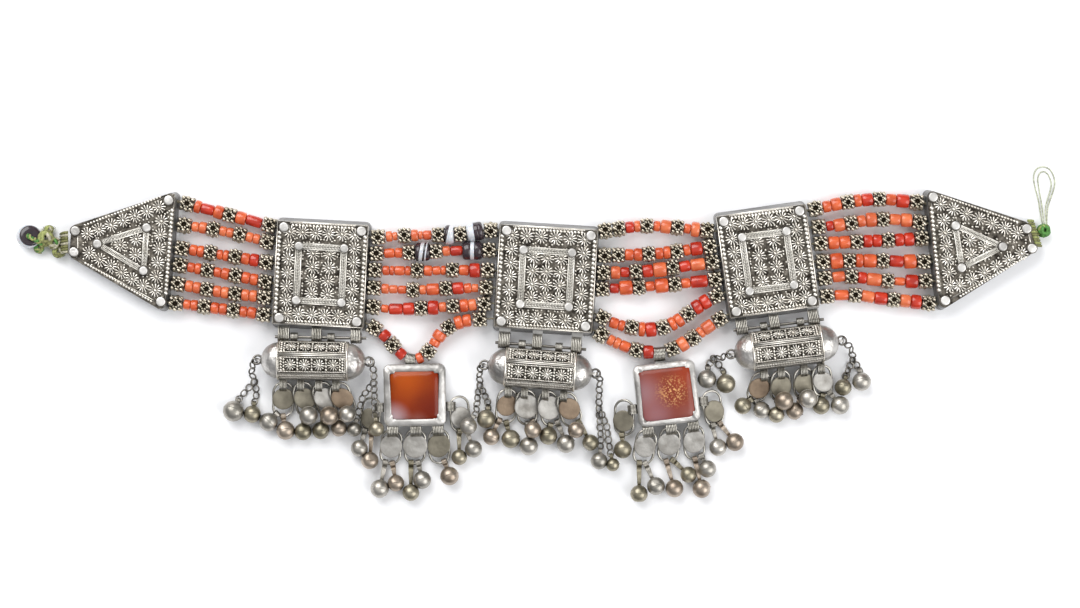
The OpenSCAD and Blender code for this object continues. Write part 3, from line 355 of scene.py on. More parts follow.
def turned(angles, v):
    return rot("Z", angles[2]) @ rot("Y", angles[1]) @ rot("X", angles[0]) @ np.array(v, float)


def placed(frame_row, v):
    """A point given from a hinge's or a setting's own middle."""
    (x, y), turn = frame_row[:2]
    return rot("Z", turn) @ np.array(v, float) + [x, y, 0]


def hinge_point(i, v):
    return placed(HINGES[i], v)


def drum_point(i, v):
    return hinge_point(i, np.array(v, float) + vec(DRUM_SHIFTS[i], -DRUM_REACH, DRUM_Z))


def setting_point(i, v):
    return placed(SETTINGS[i], v)


def aimed(q, aim, straight, disc_up):
    """A ring that hangs from q by its top and points at the aim's last two values."""
    heading = math.degrees(math.atan2(aim[2] - q[0], q[1] - aim[3]))
    return [q, [aim[0], aim[1], heading], vec(0, straight / 2 + RING_R), straight, disc_up]


def drum_drops(i, aims, straight, disc_up):
    hooks = [drum_point(i, [x, -DROP_LOOP_Y, DROP_LOOP_Z - DRUM_Z]) for x in DROP_LOOPS[i]]
    return [aimed(q, aim, straight, disc_up) for q, aim in zip(hooks, aims)]


def setting_drops(i, aims, side_aims, straight=6):
    hooks = [setting_point(i, [x, -SETTING_W / 2 - 1.5, SETTING_LOOP_Z]) for x in SETTING_LOOPS]
    below = [aimed(q, aim, straight, 0.5) for q, aim in zip(hooks, aims)]
    shoulder = math.radians(8)
    x, y = RING_R * math.cos(shoulder), straight / 2 + RING_R * math.sin(shoulder)
    return below + [[setting_point(i, [s * (SETTING_W / 2 + 1.5), SIDE_LOOP_Y, SETTING_LOOP_Z]),
                     aim, vec(-s * x, y), straight, -1.2] for s, aim in zip((-1, 1), side_aims)]


# Rings: two tilts and the point that each is aimed at; the side ones have three tilts
DROPS = {
    "drops_drum_left": drum_drops(0, [[14, 12, -99.6, -45], [14, 12, -91.6, -45], [14, 12, -84, -45],
                                      [14, 10, -77.6, -44.8]], 6, 0.5),
    "drops_drum_centre": drum_drops(1, [[14, 12, -14.8, -50.4], [14, 12, -6.8, -50.8],
                                        [14, 12, 2, -50.8], [14, 10, 9.2, -50]], 6, 0.5),
    "drops_drum_right": drum_drops(2, [[16, 14, 81.2, -42], [16, 14, 89.6, -42], [16, 12, 98.4, -41],
                                       [16, 12, 105.6, -40]], 4.6, -0.2),
    "drops_setting_left": setting_drops(0, [[12, 0, -59.4, -68], [12, 0, -50, -67.8],
                                            [12, 0, -40.6, -66.3]], [[8, -20, -8], [8, 20, 8]]),
    "drops_setting_right": setting_drops(1, [[12, 0, 37, -67], [12, 0, 46.4, -66.3],
                                             [12, 0, 56.4, -64]], [[8, -20, -4], [8, 20, 14]]),
}


class Pile:
    """Collects small shapes, in millimetres, into one mesh."""

    def __init__(self):
        self.verts, self.faces, self.slots, self.count = [], [], [], 0

    def add(self, shape, turn=None, place=None, slot=0):
        v = np.asarray(shape[0], float)
        if turn is not None:
            v = v @ np.asarray(turn).T
        if place is not None:
            v = v + np.asarray(place, float)
        self.verts.append(v)
        self.faces += [[i + self.count for i in f] for f in shape[1]]
        self.slots += [slot] * len(shape[1])
        self.count += len(v)

    def shape(self):
        return np.vstack(self.verts), self.faces

    def add_pile(self, pile, bend):
        """Adds a pile with its material slots, each point moved by bend."""
        verts, faces = pile.shape()
        self.add((bend(verts), faces))
        self.slots[-len(faces):] = pile.slots

    def build(self, name, materials, replaces=(), slot=None):
        mesh = bpy.data.meshes.new(name)
        inside = np.clip(self.shape()[0], BOX_LOW, BOX_HIGH)
        mesh.from_pydata([tuple(q) for q in inside * MM], [], self.faces)
        for m in materials:
            mesh.materials.append(m)
        mesh.polygons.foreach_set("material_index", self.slots)
        mesh.polygons.foreach_set("use_smooth", [True] * len(self.faces))
        mesh.update()
        piece = add_object(name, mesh)
        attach(piece, "root")
        if replaces:
            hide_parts(*replaces)
        return piece


def ball_shape(level):
    bm = bmesh.new()
    bmesh.ops.create_icosphere(bm, subdivisions=level, radius=1)
    shape = (np.array([v.co[:] for v in bm.verts]), [[v.index for v in f.verts] for f in bm.faces])
    bm.free()
    return shape


def walls(rings, n, flip=False):
    """The four-sided faces between rings of n points, each ring joined to the next."""
    faces = []
    for i, j in rings:
        for k in range(n):
            m = (k + 1) % n
            face = [i * n + k, i * n + m, j * n + m, j * n + k]
            faces.append([face[0], face[3], face[2], face[1]] if flip else face)
    return faces


def loft(sections):
    """A solid through closed rings of the same number of points."""
    n, last = len(sections[0]), len(sections) - 1
    faces = walls([(i, i + 1) for i in range(last)], n)
    faces += [list(range(n))[::-1], list(range(last * n, last * n + n))]
    return np.array([q for ring in sections for q in ring], float), faces


def lathe(profile, sides):
    """Turns (radius, height) points about Z into a solid."""
    return loft([[[x, y, h] for x, y, _ in circle(r, sides)] for r, h in profile])


def tube(points, radii, sides=8, closed=False):
    p = [np.array(q, float) for q in points]
    n = len(p)
    radii = radii if hasattr(radii, "__len__") else [radii] * n
    verts = []
    side = None
    for i in range(n):
        a = p[(i - 1) % n] if closed else p[max(i - 1, 0)]
        b = p[(i + 1) % n] if closed else p[min(i + 1, n - 1)]
        t = unit(b - a)
        if side is None:
            side = np.cross(t, vec(0, 0, 1))
            if np.linalg.norm(side) < 0.1:
                side = np.cross(t, vec(0, 1, 0))
        side = unit(side - t * np.dot(side, t))
        other = np.cross(t, side)
        verts += [p[i] + x * side + y * other for x, y, _ in circle(radii[i], sides)]
    faces = walls([(i, (i + 1) % n) for i in range(n if closed else n - 1)], sides, flip=True)
    if not closed:
        faces += [list(range(sides)), list(range((n - 1) * sides, n * sides))[::-1]]
    return np.array(verts), faces


def torus(r, wire, steps=24, sides=8):
    return tube(circle(r, steps), wire, sides, closed=True)


def towards(v, spin=0):
    """A turn that takes Z to v."""
    z = unit(np.array(v, float))
    x = np.cross(vec(0, 0, 1), z)
    x = unit(x) if np.linalg.norm(x) > 1e-4 else vec(1, 0, 0)
    y = np.cross(z, x)
    c, s = math.cos(math.radians(spin)), math.sin(math.radians(spin))
    return np.column_stack([c * x + s * y, -s * x + c * y, z])


def surface(m):
    return m.node_tree.nodes["Principled BSDF"]


def base_color(m):
    return surface(m).inputs["Base Color"].links[0].from_socket


def fill(m, n, inputs):
    """Sets a node's inputs: a socket is linked, anything else is a value."""
    for key, value in inputs.items():
        if isinstance(value, bpy.types.NodeSocket):
            m.node_tree.links.new(value, n.inputs[key])
        else:
            n.inputs[key].default_value = value
    return n


def node(m, kind, inputs, operation=None):
    n = m.node_tree.nodes.new("ShaderNode" + kind)
    if operation:
        n.operation = operation
    return fill(m, n, inputs)


def noise(m, scale, detail):
    where = node(m, "TexCoord", {}).outputs["Object"]
    return node(m, "TexNoise", {"Scale": scale, "Detail": detail, "Vector": where}).outputs["Fac"]


def ramp(m, source, *stops):
    r = node(m, "ValToRGB", {"Fac": source})
    elements = r.color_ramp.elements
    while len(elements) < len(stops):
        elements.new(0.5)
    for e, (at, color) in zip(elements, stops):
        e.position = at
        e.color = (*color, 1)
    return r.outputs["Color"]


def mixed(m, amount, below, above):
    return node(m, "MixRGB", {"Fac": amount, "Color1": below, "Color2": above}).outputs["Color"]


def bumped(m, height, strength, depth):
    inputs = {"Strength": strength, "Distance": depth * MM, "Height": height}
    return node(m, "Bump", inputs).outputs["Normal"]


def principled(name, color, metallic, rough, coat=0.0):
    m = bpy.data.materials.new(name)
    m.use_nodes = True
    fill(m, surface(m), {"Base Color": (*color, 1), "Metallic": metallic, "Roughness": rough,
                         "Coat Weight": coat, "Coat Roughness": 0.12})
    return m


def silver_material(name, bright, dark, rough, grain=900, bump=0.25, soot=0.8, depth=0.25, metallic=1.0):
    """Worn silver: mottled metal, darker where it is hollow."""
    m = principled(name, bright, metallic, rough)
    tone = ramp(m, noise(m, grain * 0.35, 6), (0.3, dark), (0.66, bright))
    shade = node(m, "AmbientOcclusion", {"Distance": 1.4 * MM})
    shade.samples = 6
    hollow = ramp(m, shade.outputs["AO"], (0.25, (0.06, 0.055, 0.05)), (0.85, (1, 1, 1)))
    mix = node(m, "MixRGB", {"Fac": soot, "Color1": tone, "Color2": hollow})
    mix.blend_type = "MULTIPLY"
    lift = bumped(m, noise(m, grain, 3), bump, depth)
    fill(m, surface(m), {"Base Color": mix.outputs["Color"], "Normal": lift})
    return m


def stone_material(name, light, deep, rough=0.22, coat=0.6):
    m = principled(name, light, 0.0, rough, coat)
    fill(m, surface(m), {"Base Color": ramp(m, noise(m, 220, 5), (0.34, deep), (0.62, light)),
                         "Subsurface Weight": 0.15, "Subsurface Radius": (0.0012, 0.0005, 0.0003)})
    return m


def dark_front(m, level):
    """Soot on the flat front behind the filigree, above the level; on the walls, painted shade: a dark
    colour with dark streaks in it.
    """
    where = node(m, "NewGeometry", {}).outputs
    height = node(m, "SeparateXYZ", {0: where["Position"]}).outputs["Z"]
    facing = node(m, "SeparateXYZ", {0: where["True Normal"]}).outputs["Z"]
    high = node(m, "Math", {0: height, 1: level * MM}, "GREATER_THAN").outputs[0]
    flat = node(m, "Math", {0: facing, 1: 0.9}, "GREATER_THAN").outputs[0]
    front = node(m, "Math", {0: high, 1: flat}, "MULTIPLY").outputs[0]
    soot = ramp(m, noise(m, 500, 5), (0.35, (0.035, 0.03, 0.025)), (0.62, (0.2, 0.18, 0.15)),
                (0.75, (0.42, 0.38, 0.33)))
    streak = node(m, "Mapping", {"Vector": where["Position"], "Scale": (90, 90, 1400)}).outputs["Vector"]
    lines = node(m, "TexNoise", {"Scale": 1, "Vector": streak}).outputs["Fac"]
    # Painted shade on the walls: a dark colour with darker streaks
    wall_shade = ramp(m, lines, (0.35, (0.06, 0.058, 0.055)), (0.7, (0.34, 0.33, 0.32)))
    dull = node(m, "MapRange", {"Value": flat, "To Min": 0.25, "To Max": 1}).outputs["Result"]
    color = mixed(m, flat, wall_shade, mixed(m, front, base_color(m), soot))
    fill(m, surface(m), {"Base Color": color, "Metallic": dull})


def dark_faces(m, directions):
    """Soot on the faces that look along the directions."""
    last = base_color(m)
    normal = node(m, "NewGeometry", {}).outputs["True Normal"]
    soot = ramp(m, noise(m, 500, 5), (0.35, (0.03, 0.026, 0.022)), (0.65, (0.16, 0.145, 0.12)))
    for d in directions:
        dot = node(m, "VectorMath", {0: normal, 1: tuple(d)}, "DOT_PRODUCT").outputs["Value"]
        facing = node(m, "Math", {0: dot, 1: 0.998}, "GREATER_THAN").outputs[0]
        last = mixed(m, facing, last, soot)
    fill(m, surface(m), {"Base Color": last})


def carnelian(name, centre, base, spots, speckle=None):
    """Clouded translucent stone; each spot is x, y, reach, colour and strength, from the centre."""
    m = principled(name, base, 0.0, 0.16, 0.05)
    last = ramp(m, noise(m, 110, 4), (0.3, tuple(0.78 * c for c in base)), (0.7, base))
    where = node(m, "NewGeometry", {}).outputs["Position"]
    if speckle:
        spots = spots + [(*speckle, (0.72, 0.4, 0.16), 1.0)]
    for x, y, reach, color, strength in spots:
        middle = ((centre[0] + x) * MM, (centre[1] + y) * MM, 7.4 * MM)
        far = node(m, "VectorMath", {0: where, 1: middle}, "DISTANCE").outputs["Value"]
        near = node(m, "MapRange", {"Value": far, "From Min": reach * MM, "From Max": 0,
                                    "To Min": 0, "To Max": strength})
        near.interpolation_type = "SMOOTHSTEP"
        amount = near.outputs["Result"]
        if (x, y, reach) == speckle:
            dots = ramp(m, noise(m, 1500, 6), (0.5, (0, 0, 0)), (0.6, (1, 1, 1)))
            amount = node(m, "Math", {0: amount, 1: dots}, "MULTIPLY").outputs[0]
        last = mixed(m, amount, last, (*color, 1))
    fill(m, surface(m), {"Base Color": last, "Specular IOR Level": 0.2, "Subsurface Weight": 0.2,
                         "Subsurface Radius": (0.003, 0.001, 0.0005)})
    return m


def fibre(name, color):
    """Thread: fine dark mottling."""
    m = principled(name, color, 0.0, 0.8)
    fine = noise(m, 1400, 4)
    tone = ramp(m, fine, (0.35, tuple(0.45 * c for c in color)), (0.65, color))
    fill(m, surface(m), {"Base Color": tone, "Normal": bumped(m, fine, 0.6, 0.2)})
    return m


PLATE = silver_material("plate_silver", (0.5, 0.49, 0.47), (0.27, 0.265, 0.255), 0.36, bump=0.35)
dark_front(PLATE, PLATE_T - 0.12)
FILIGREE = silver_material("filigree_silver", (1.0, 0.96, 0.88), (0.72, 0.67, 0.59), 0.31, bump=0.1)
STRIP = silver_material("strip_silver", (1.0, 0.97, 0.9), (0.7, 0.67, 0.6), 0.42, bump=0.1, soot=0.6)
STUD = silver_material("nail_silver", (0.8, 0.78, 0.75), (0.42, 0.41, 0.39), 0.46, 420, 0.9, 0.3)
DOME = silver_material("dome_silver", (0.7, 0.68, 0.65), (0.34, 0.33, 0.315), 0.4, 300, 1.0, 0.4, 0.8)
BERRY = silver_material("bead_silver", (0.76, 0.69, 0.57), (0.34, 0.3, 0.22), 0.32, bump=0.1, soot=0.95)
# Painted shade: a near-black core inside each granule bead stands for the shade in its hollow
BERRY_SHADE_CORE = principled("bead_painted_shade", (0.03, 0.022, 0.014), 0.0, 1.0)
fill(BERRY_SHADE_CORE, surface(BERRY_SHADE_CORE), {"Specular IOR Level": 0.05})
BEZEL = silver_material("bezel_silver", (0.76, 0.74, 0.71), (0.26, 0.25, 0.235), 0.46, 260, 1.0, 0.9, 0.6,
                        metallic=0.75)
WIRE = silver_material("wire_silver", (0.52, 0.5, 0.45), (0.28, 0.265, 0.23), 0.3, bump=0.05, soot=0.75)
CHAIN = silver_material("chain_silver", (0.28, 0.265, 0.235), (0.12, 0.11, 0.1), 0.3, bump=0.05, soot=0.7)
BELL_TONES = [
    silver_material("bell_" + name, bright, dark, 0.42, 420, 0.6, 0.6)
    for name, bright, dark in (
        ("grey", (0.56, 0.53, 0.48), (0.29, 0.275, 0.24)),
        ("olive", (0.44, 0.4, 0.31), (0.22, 0.2, 0.14)),
        ("brown", (0.5, 0.43, 0.355), (0.27, 0.215, 0.165)))
]
DISC_TONES = [
    silver_material("disc_" + name, bright, dark, 0.55, grain, bump, 0.4, metallic=0.55)
    for name, bright, dark, grain, bump in (
        ("light", (0.5, 0.485, 0.455), (0.25, 0.235, 0.21), 600, 0.9),
        ("dark", (0.29, 0.265, 0.205), (0.15, 0.135, 0.1), 500, 0.7),
        ("copper", (0.3, 0.225, 0.155), (0.17, 0.12, 0.08), 500, 0.7))
]
CORALS = [
    stone_material("coral_" + name, light, deep, coat=0.3)
    for name, light, deep in (
        ("orange", (0.68, 0.125, 0.038), (0.48, 0.066, 0.019)),
        ("light", (0.72, 0.18, 0.068), (0.56, 0.105, 0.036)),
        ("red", (0.54, 0.034, 0.012), (0.35, 0.016, 0.006)))
]
AGATE_DARK = stone_material("agate_dark", (0.04, 0.026, 0.032), (0.014, 0.01, 0.014), 0.14, coat=0.25)
AGATE_WHITE = stone_material("agate_white", (0.66, 0.68, 0.72), (0.44, 0.45, 0.48), 0.16)
CARNELIANS = [
    carnelian("carnelian_left", SETTINGS[0][0], (0.25, 0.03, 0.003), [
        (-3, 6, 12, (0.39, 0.066, 0.003), 0.95),
        (7, -6, 12, (0.13, 0.01, 0.003), 0.85),
        (9, 8, 5, (0.2, 0.016, 0.003), 0.7),
        (-9, 3, 3.5, (0.2, 0.03, 0.003), 0.6),
        # A pale spot at the lower left: a painted reflection
        (-8, -9, 8, (0.44, 0.33, 0.35), 0.9),
        (1, -11, 6, (0.3, 0.12, 0.1), 0.7),
    ]),
    carnelian("carnelian_right", SETTINGS[1][0], (0.24, 0.045, 0.025), [
        (-9, 0, 10, (0.3, 0.155, 0.165), 0.95),
        (7, 7, 9, (0.3, 0.042, 0.014), 0.8),
        (-4, -9, 10, (0.3, 0.135, 0.145), 0.9),
        (8, -8, 7, (0.26, 0.09, 0.075), 0.7),
    ], speckle=(2, 1, 8)),
]
THREAD = fibre("thread", (0.36, 0.32, 0.22))
PALE_THREAD = fibre("pale_thread", (0.6, 0.63, 0.46))
CORD_TONES = [
    fibre(name + "_cord", color)
    for name, color in (("green", (0.1, 0.3, 0.06)), ("lime", (0.4, 0.44, 0.15)),
                        ("olive", (0.24, 0.24, 0.09)), ("cream", (0.55, 0.52, 0.38)))
]

TINY, GRAIN, BALL = (ball_shape(level) for level in (1, 2, 3))


def paint_node(name, material):
    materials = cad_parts[name].data.materials
    materials.clear()
    materials.append(material)


def curve_piece(name, points, radius, material):
    data = bpy.data.curves.new(name, "CURVE")
    data.dimensions = "3D"
    data.bevel_depth = radius * MM
    data.bevel_resolution = 3
    data.use_fill_caps = True
    line = data.splines.new("POLY")
    line.points.add(len(points) - 1)
    for q, p in zip(line.points, points):
        q.co = (*(p * MM), 1)
    data.materials.append(material)
    piece = add_object(name, data)
    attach(piece, "root")
    return piece


def loop_threads():
    """The free loop at the right end, two turns of one thin thread."""
    outer = [[189.2, 19, 2.6], [189, 21.4, 1.4], [188.4, 26, 0.4], [187.8, 30, 0.3],
             [186.6, 34.6, 0.3], [186, 38.6, 0.3], [187, 41.6, 0.3], [189.6, 42.6, 0.3], [192.2, 41.6, 0.3],
             [193.8, 38.6, 0.3], [194, 35.4, 0.3], [192.8, 31.4, 0.3], [191.4, 27, 0.4], [190.8, 22, 1.4],
             [190.6, 19, 2.6]]
    inner = [[189.6, 19, 3.4], [189.5, 21.8, 2.4], [189.2, 26, 0.9], [188.8, 30, 0.3],
             [188, 34.6, 0.3], [187.6, 38, 0.3], [188.4, 40.2, 0.3], [190, 40.8, 0.3], [191.6, 39.6, 0.3],
             [192.6, 37, 0.3], [192.6, 34.6, 0.3], [191.6, 31.2, 0.3], [190.4, 27, 0.9], [190.3, 22.2, 2.4],
             [190.3, 19, 3.4]]
    thickness = 0.5
    for name, turn in (("loop_thread_outer", outer), ("loop_thread_inner", inner)):
        line = spline(turn, 5)
        piece = curve_piece("thread_" + name, line, thickness / 2, PALE_THREAD)
        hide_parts(name)


def add_object(name, data):
    thing = bpy.data.objects.new(name, data)
    bpy.context.collection.objects.link(thing)
    return thing


def add_camera():
    """A camera straight above the photograph's frame."""
    cam = bpy.data.cameras.new("camera")
    cam.lens = LENS
    cam.sensor_width = SENSOR
    cam.clip_start = 0.01
    camera = add_object("camera", cam)
    height = FRAME_W * LENS / SENSOR + FOCUS_Z
    camera.location = (FRAME_X * MM, FRAME_Y * MM, height * MM)
    bpy.context.scene.camera = camera


def add_paper():
    half_width, z = 3, -0.0001
    paper = bpy.data.meshes.new("floor")
    paper.from_pydata([(s * half_width, t * half_width, z) for s, t in CORNERS], [], [[0, 1, 2, 3]])
    paper.materials.append(principled("paper", (0.93, 0.935, 0.95), 0, 0.9))
    floor = add_object("floor", paper)


def add_light():
    """A soft sky and two large lamps."""
    world = bpy.data.worlds.new("soft_sky")
    world.use_nodes = True
    up = node(world, "SeparateXYZ", {0: node(world, "TexCoord", {}).outputs["Generated"]}).outputs["Z"]
    sky = ramp(world, up, (0.0, (0.2, 0.2, 0.21)), (0.45, (0.3, 0.3, 0.31)), (0.8, (0.75, 0.76, 0.78)),
               (1.0, (1.0, 1.0, 1.0)))
    fill(world, world.node_tree.nodes["Background"], {"Color": sky, "Strength": 0.72})
    bpy.context.scene.world = world
    for name, place, power in (("key", (-0.45, 0.85, 0.9), 17.5), ("fill", (0.95, -0.4, 0.85), 12.5)):
        light = bpy.data.lights.new(name, "AREA")
        light.size = 1.1
        light.energy = power
        lamp = add_object(name, light)
        lamp.location = place
        lamp.rotation_euler = Vector(place).to_track_quat("Z", "Y").to_euler()
    bpy.context.scene.view_settings.view_transform = "Standard"


def scaled(shape, k):
    return shape[0] * k, shape[1]


def berry_shape():
    """A granule bead about Z: grains on the edges of a cube, small ones round the hole in each face, and a
    dark core inside that is painted shade in its hollow.
    """
    pile = Pile()
    half = np.array([BERRY_W / 2 - 0.62, BERRY_W / 2 - 0.62, BERRY_L / 2 - 0.56])
    for cell in np.ndindex(3, 3, 3):
        corner = np.array(cell) - 1
        if np.abs(corner).sum() > 1:
            pull = 0.86 if np.abs(corner).sum() == 3 else 1.0
            pile.add(scaled(GRAIN, GRAIN_R), place=corner * half * pull)
    for axis in range(3):
        for side in (-1, 1):
            for k in range(8):
                a = 2 * math.pi * (k + 0.5) / 8
                q = [HOLE_RING_R * math.cos(a), HOLE_RING_R * math.sin(a), side * half[axis]]
                pile.add(scaled(TINY, SMALL_GRAIN_R), place=np.roll(q, axis + 1))
    # The dark core: painted shade inside the bead
    pile.add(barrel(BERRY_L - 1.9, BERRY_W / 2 - 1.35), slot=1)
    return pile


def add_berry(pile, berry, middle, axis, spin, outward):
    """Adds a granule bead; outward is -1 or 1 at a strand's ends and 0 between them."""
    turn = towards(axis, spin)
    stretch = [BERRY_SWELL, BERRY_SWELL, BERRY_SWELL + END_SWELL * abs(outward)]
    shift = middle + END_REACH * outward * unit(axis)
    pile.add_pile(berry, lambda v: (v * stretch) @ turn.T + shift)


def barrel(length, r):
    """A bead about Z with rounded ends."""
    half = length / 2
    edge = min(0.5, half * 0.3)
    rise = [(0.6, -half), (r * 0.72, -half), (r * 0.9, -half + edge * 0.35), (r * 0.97, -half + edge),
            (r, -half * 0.3)]
    return lathe(rise + [(q, -h) for q, h in rise[::-1]], 20)


def coral_shade(gap, s, i, seen):
    """Which of the corals' colours a bead has: red where the photograph's is, or else orange or light."""
    if seen in RED_CORALS.get((gap, s), []):
        return 2
    return 1 if (i * i + s + gap) % 3 == 0 else 0


def string_line(p):
    """The string along a route, with both ends inside the plates."""
    before = p[0] - STRING_SPARE * unit(p[1] - p[0])
    after = p[-1] + STRING_SPARE * unit(p[-1] - p[-2])
    return tube([before] + p + [after], STRING_R, 6)


def fill_gap(gap, berry, agate_looks):
    """One gap's silver beads, corals, agates and strings, each as a pile."""
    silver, corals, agates, strings = Pile(), Pile(), Pile(), Pile()
    for s, (points, beads, space, end_gap) in enumerate(GAPS[gap]):
        p = route(points)
        sums = arc_lengths(p)
        strings.add(string_line(p))
        fat = 0.54 + 0.05 * (space > 0.5)
        seen = 0
        for i, (start, end, diameter, kind) in enumerate(rows(points, beads, space, end_gap)):
            a, b = along(p, sums, start), along(p, sums, end)
            middle, axis = (a + b) / 2, b - a
            if kind == SILVER:
                spin = 90 * (i % 2) + random.uniform(-14, 14)
                add_berry(silver, berry, middle, axis, spin, (i == len(beads) - 1) - (i == 0))
            elif kind == CORAL:
                seen += 1
                tilt = rot("Z", random.uniform(-4, 4))
                bead = barrel(end - start + space - 0.1, diameter * fat)
                corals.add(bead, tilt @ towards(axis), middle, coral_shade(gap, s, i, seen))
            elif kind == AGATE:
                size = (end - start + AGATE_SPARE, diameter * 0.54)
                banded(agates, next(agate_looks), size, towards(axis), middle)
    return silver, corals, agates, strings


def strands():
    """Every bead of the four gaps, and the strings that the outer ones hang on."""
    berry = berry_shape()
    agate_looks = iter(AGATES)
    for gap, side in ((1, "far_left"), (2, "left"), (3, "right"), (4, "far_right")):
        silver, corals, agates, strings = fill_gap(gap, berry, agate_looks)
        if side.startswith("far_"):
            stood_for = ["string_%s_%d" % (side[len("far_"):], k) for k in range(1, 7)]
            silver.build("berries_" + side, [BERRY, BERRY_SHADE_CORE], slot="dark_silver")
            corals.build("corals_" + side, CORALS, stood_for, "coral")
            strings.build("strings_" + side, [THREAD], slot="thread")
        else:
            silver.build("berries_" + side, [BERRY, BERRY_SHADE_CORE], ["silver_beads_" + side], "dark_silver")
            corals.build("corals_" + side, CORALS, ["coral_beads_" + side], "coral")
        if agates.faces:
            agates.build("agates", [AGATE_DARK, AGATE_WHITE], ["agate_beads"], "agate")


def banded(pile, look, size, turn, place):
    """A turned bead of dark stone with white bands that slant a little."""
    slant, bands = look
    length, r = size
    for a, b, white in bands:
        steps = [a + (b - a) * j / 4 for j in range(5)]
        verts, faces = lathe([(r * (1 - 0.16 * abs(2 * f) ** 7), f * length) for f in steps], 28)
        reach = 1 - np.abs(2 * verts[:, 2] / length) ** 3
        verts[:, 2] += verts[:, 0] * math.tan(math.radians(slant)) * np.clip(reach, 0, 1)
        pile.add((verts, faces), turn, place, white)


def rosette_shape(d):
    """Rays of wire round a grain."""
    pile = Pile()
    k = d / 4.9
    ray = [[x * k, 0, z] for x, z in ((0.5, 0.3), (1.0, 0.36), (1.75, 0.36), (2.3, 0.26), (2.5, 0.1))]
    for i in range(12):
        pile.add(tube(ray, [0.14, 0.19, 0.26 * k, 0.3 * k, 0.16], 6), rot("Z", 30 * i))
    pile.add(scaled(GRAIN, [0.62, 0.62, 0.55]), place=[0, 0, 0.4])
    return pile.shape()


ROSETTE = rosette_shape(5.25)
SMALL_ROSETTE = rosette_shape(4.4)
NAIL = lathe([(1.75, 0), (1.85, 0.6), (1.78, 0.9), (1.6, 1.02), (1.2, 1.05), (0.6, 1.0), (0.02, 1.04)], 28)


def spaced(a, b, pitch):
    """Points from a to b, about a pitch apart."""
    reach = np.linalg.norm(np.array(b, float) - np.array(a, float))
    return between(a, b, max(2, int(round(reach / pitch))))


def pearls(pile, a, b, pitch, r, slot=0):
    turn = rot("Z", math.degrees(math.atan2(b[1] - a[1], b[0] - a[0])))
    for q in spaced(a, b, pitch):
        pile.add(scaled(GRAIN, [0.48 * pitch, r, r * 0.85]), turn, q, slot)


def rope(pile, a, b):
    """A twisted wire as slanting grains."""
    d = unit(np.array(b, float) - np.array(a, float))
    slant = towards(unit(d + 0.9 * np.cross(vec(0, 0, 1), d)))
    for q in spaced(a, b, 0.62):
        pile.add(scaled(TINY, [0.22, 0.3, 0.52]), slant, q)


def ribs(pile, a, b, width=2.3):
    """A bright strip with a wire on each edge and fine bars across it."""
    a, b = np.array(a, float), np.array(b, float)
    d = unit(b - a)
    across = np.cross(vec(0, 0, 1), d) * width
    lean = 0.2 * d
    for f in (-0.46, 0.46):
        pile.add(tube([a + across * f, b + across * f], 0.24, 6), slot=1)
    for q in between(a, b, int(np.linalg.norm(b - a) / 0.56)):
        for f in (-0.4, 0.4):
            pile.add(tube([q + lean, q + across * f - lean], 0.2, 5), slot=1)


def row_of(pile, shape, a, b, n):
    for k, q in enumerate(between(a, b, n - 1)):
        pile.add(shape, rot("Z", 11 * k), q)


def edge_wire(pile, points):
    for i in range(len(points)):
        pile.add(tube([points[i], points[(i + 1) % len(points)]], 0.3, 6))


def within(q, outline):
    """Whether a point is inside an outline."""
    inside = False
    for i in range(len(outline)):
        a, b = outline[i], outline[(i + 1) % len(outline)]
        if (a[1] > q[1]) != (b[1] > q[1]) and q[0] < a[0] + (b[0] - a[0]) * (q[1] - a[1]) / (b[1] - a[1]):
            inside = not inside
    return inside


def seed_field(pile, outline, level, spare):
    """Loose grains in the gaps that the rosettes leave; spare holds the rosettes' middles."""
    pitch, keep_off, density, stray = 1.2, 2.7, 0.6, 0.35
    xs = [q[0] for q in outline]
    ys = [q[1] for q in outline]
    for gx in np.arange(min(xs), max(xs) + 0.01, pitch):
        for gy in np.arange(min(ys), max(ys) + 0.01, pitch):
            near = any((gx - q[0]) ** 2 + (gy - q[1]) ** 2 < keep_off ** 2 for q in spare)
            if not near and random.random() < density and within([gx, gy], outline):
                shift = [random.uniform(-stray, stray), random.uniform(-stray, stray), 0]
                pile.add(scaled(TINY, 0.48), place=np.array([gx, gy, level]) + shift)


def box_rosettes(work, side, out_x, out_y):
    """A ring of rosettes round the front, rows of them in its middle, and loose grains between them."""
    middles = []
    for k in range(6):
        middles += [[out_x * (k / 2.5 - 1), t * out_y] for t in (-1, 1)]
    for k in range(1, 6):
        middles += [[s * out_x, out_y * (k / 3 - 1)] for s in (-1, 1)]
    columns = [-5.2, 0, 5.2] if side == "centre" else [-3.1, 3.1]
    middles += [[c, r] for c in columns for r in (-7.6, -2.5, 2.6, 7.7)]
    for k, q in enumerate(middles):
        work.add(ROSETTE, rot("Z", 11 * k), [*q, 0.3])
    seed_field(work, [[s * (out_x + 1.6), t * (out_y + 1.6)] for s, t in CORNERS], 0.35, middles)


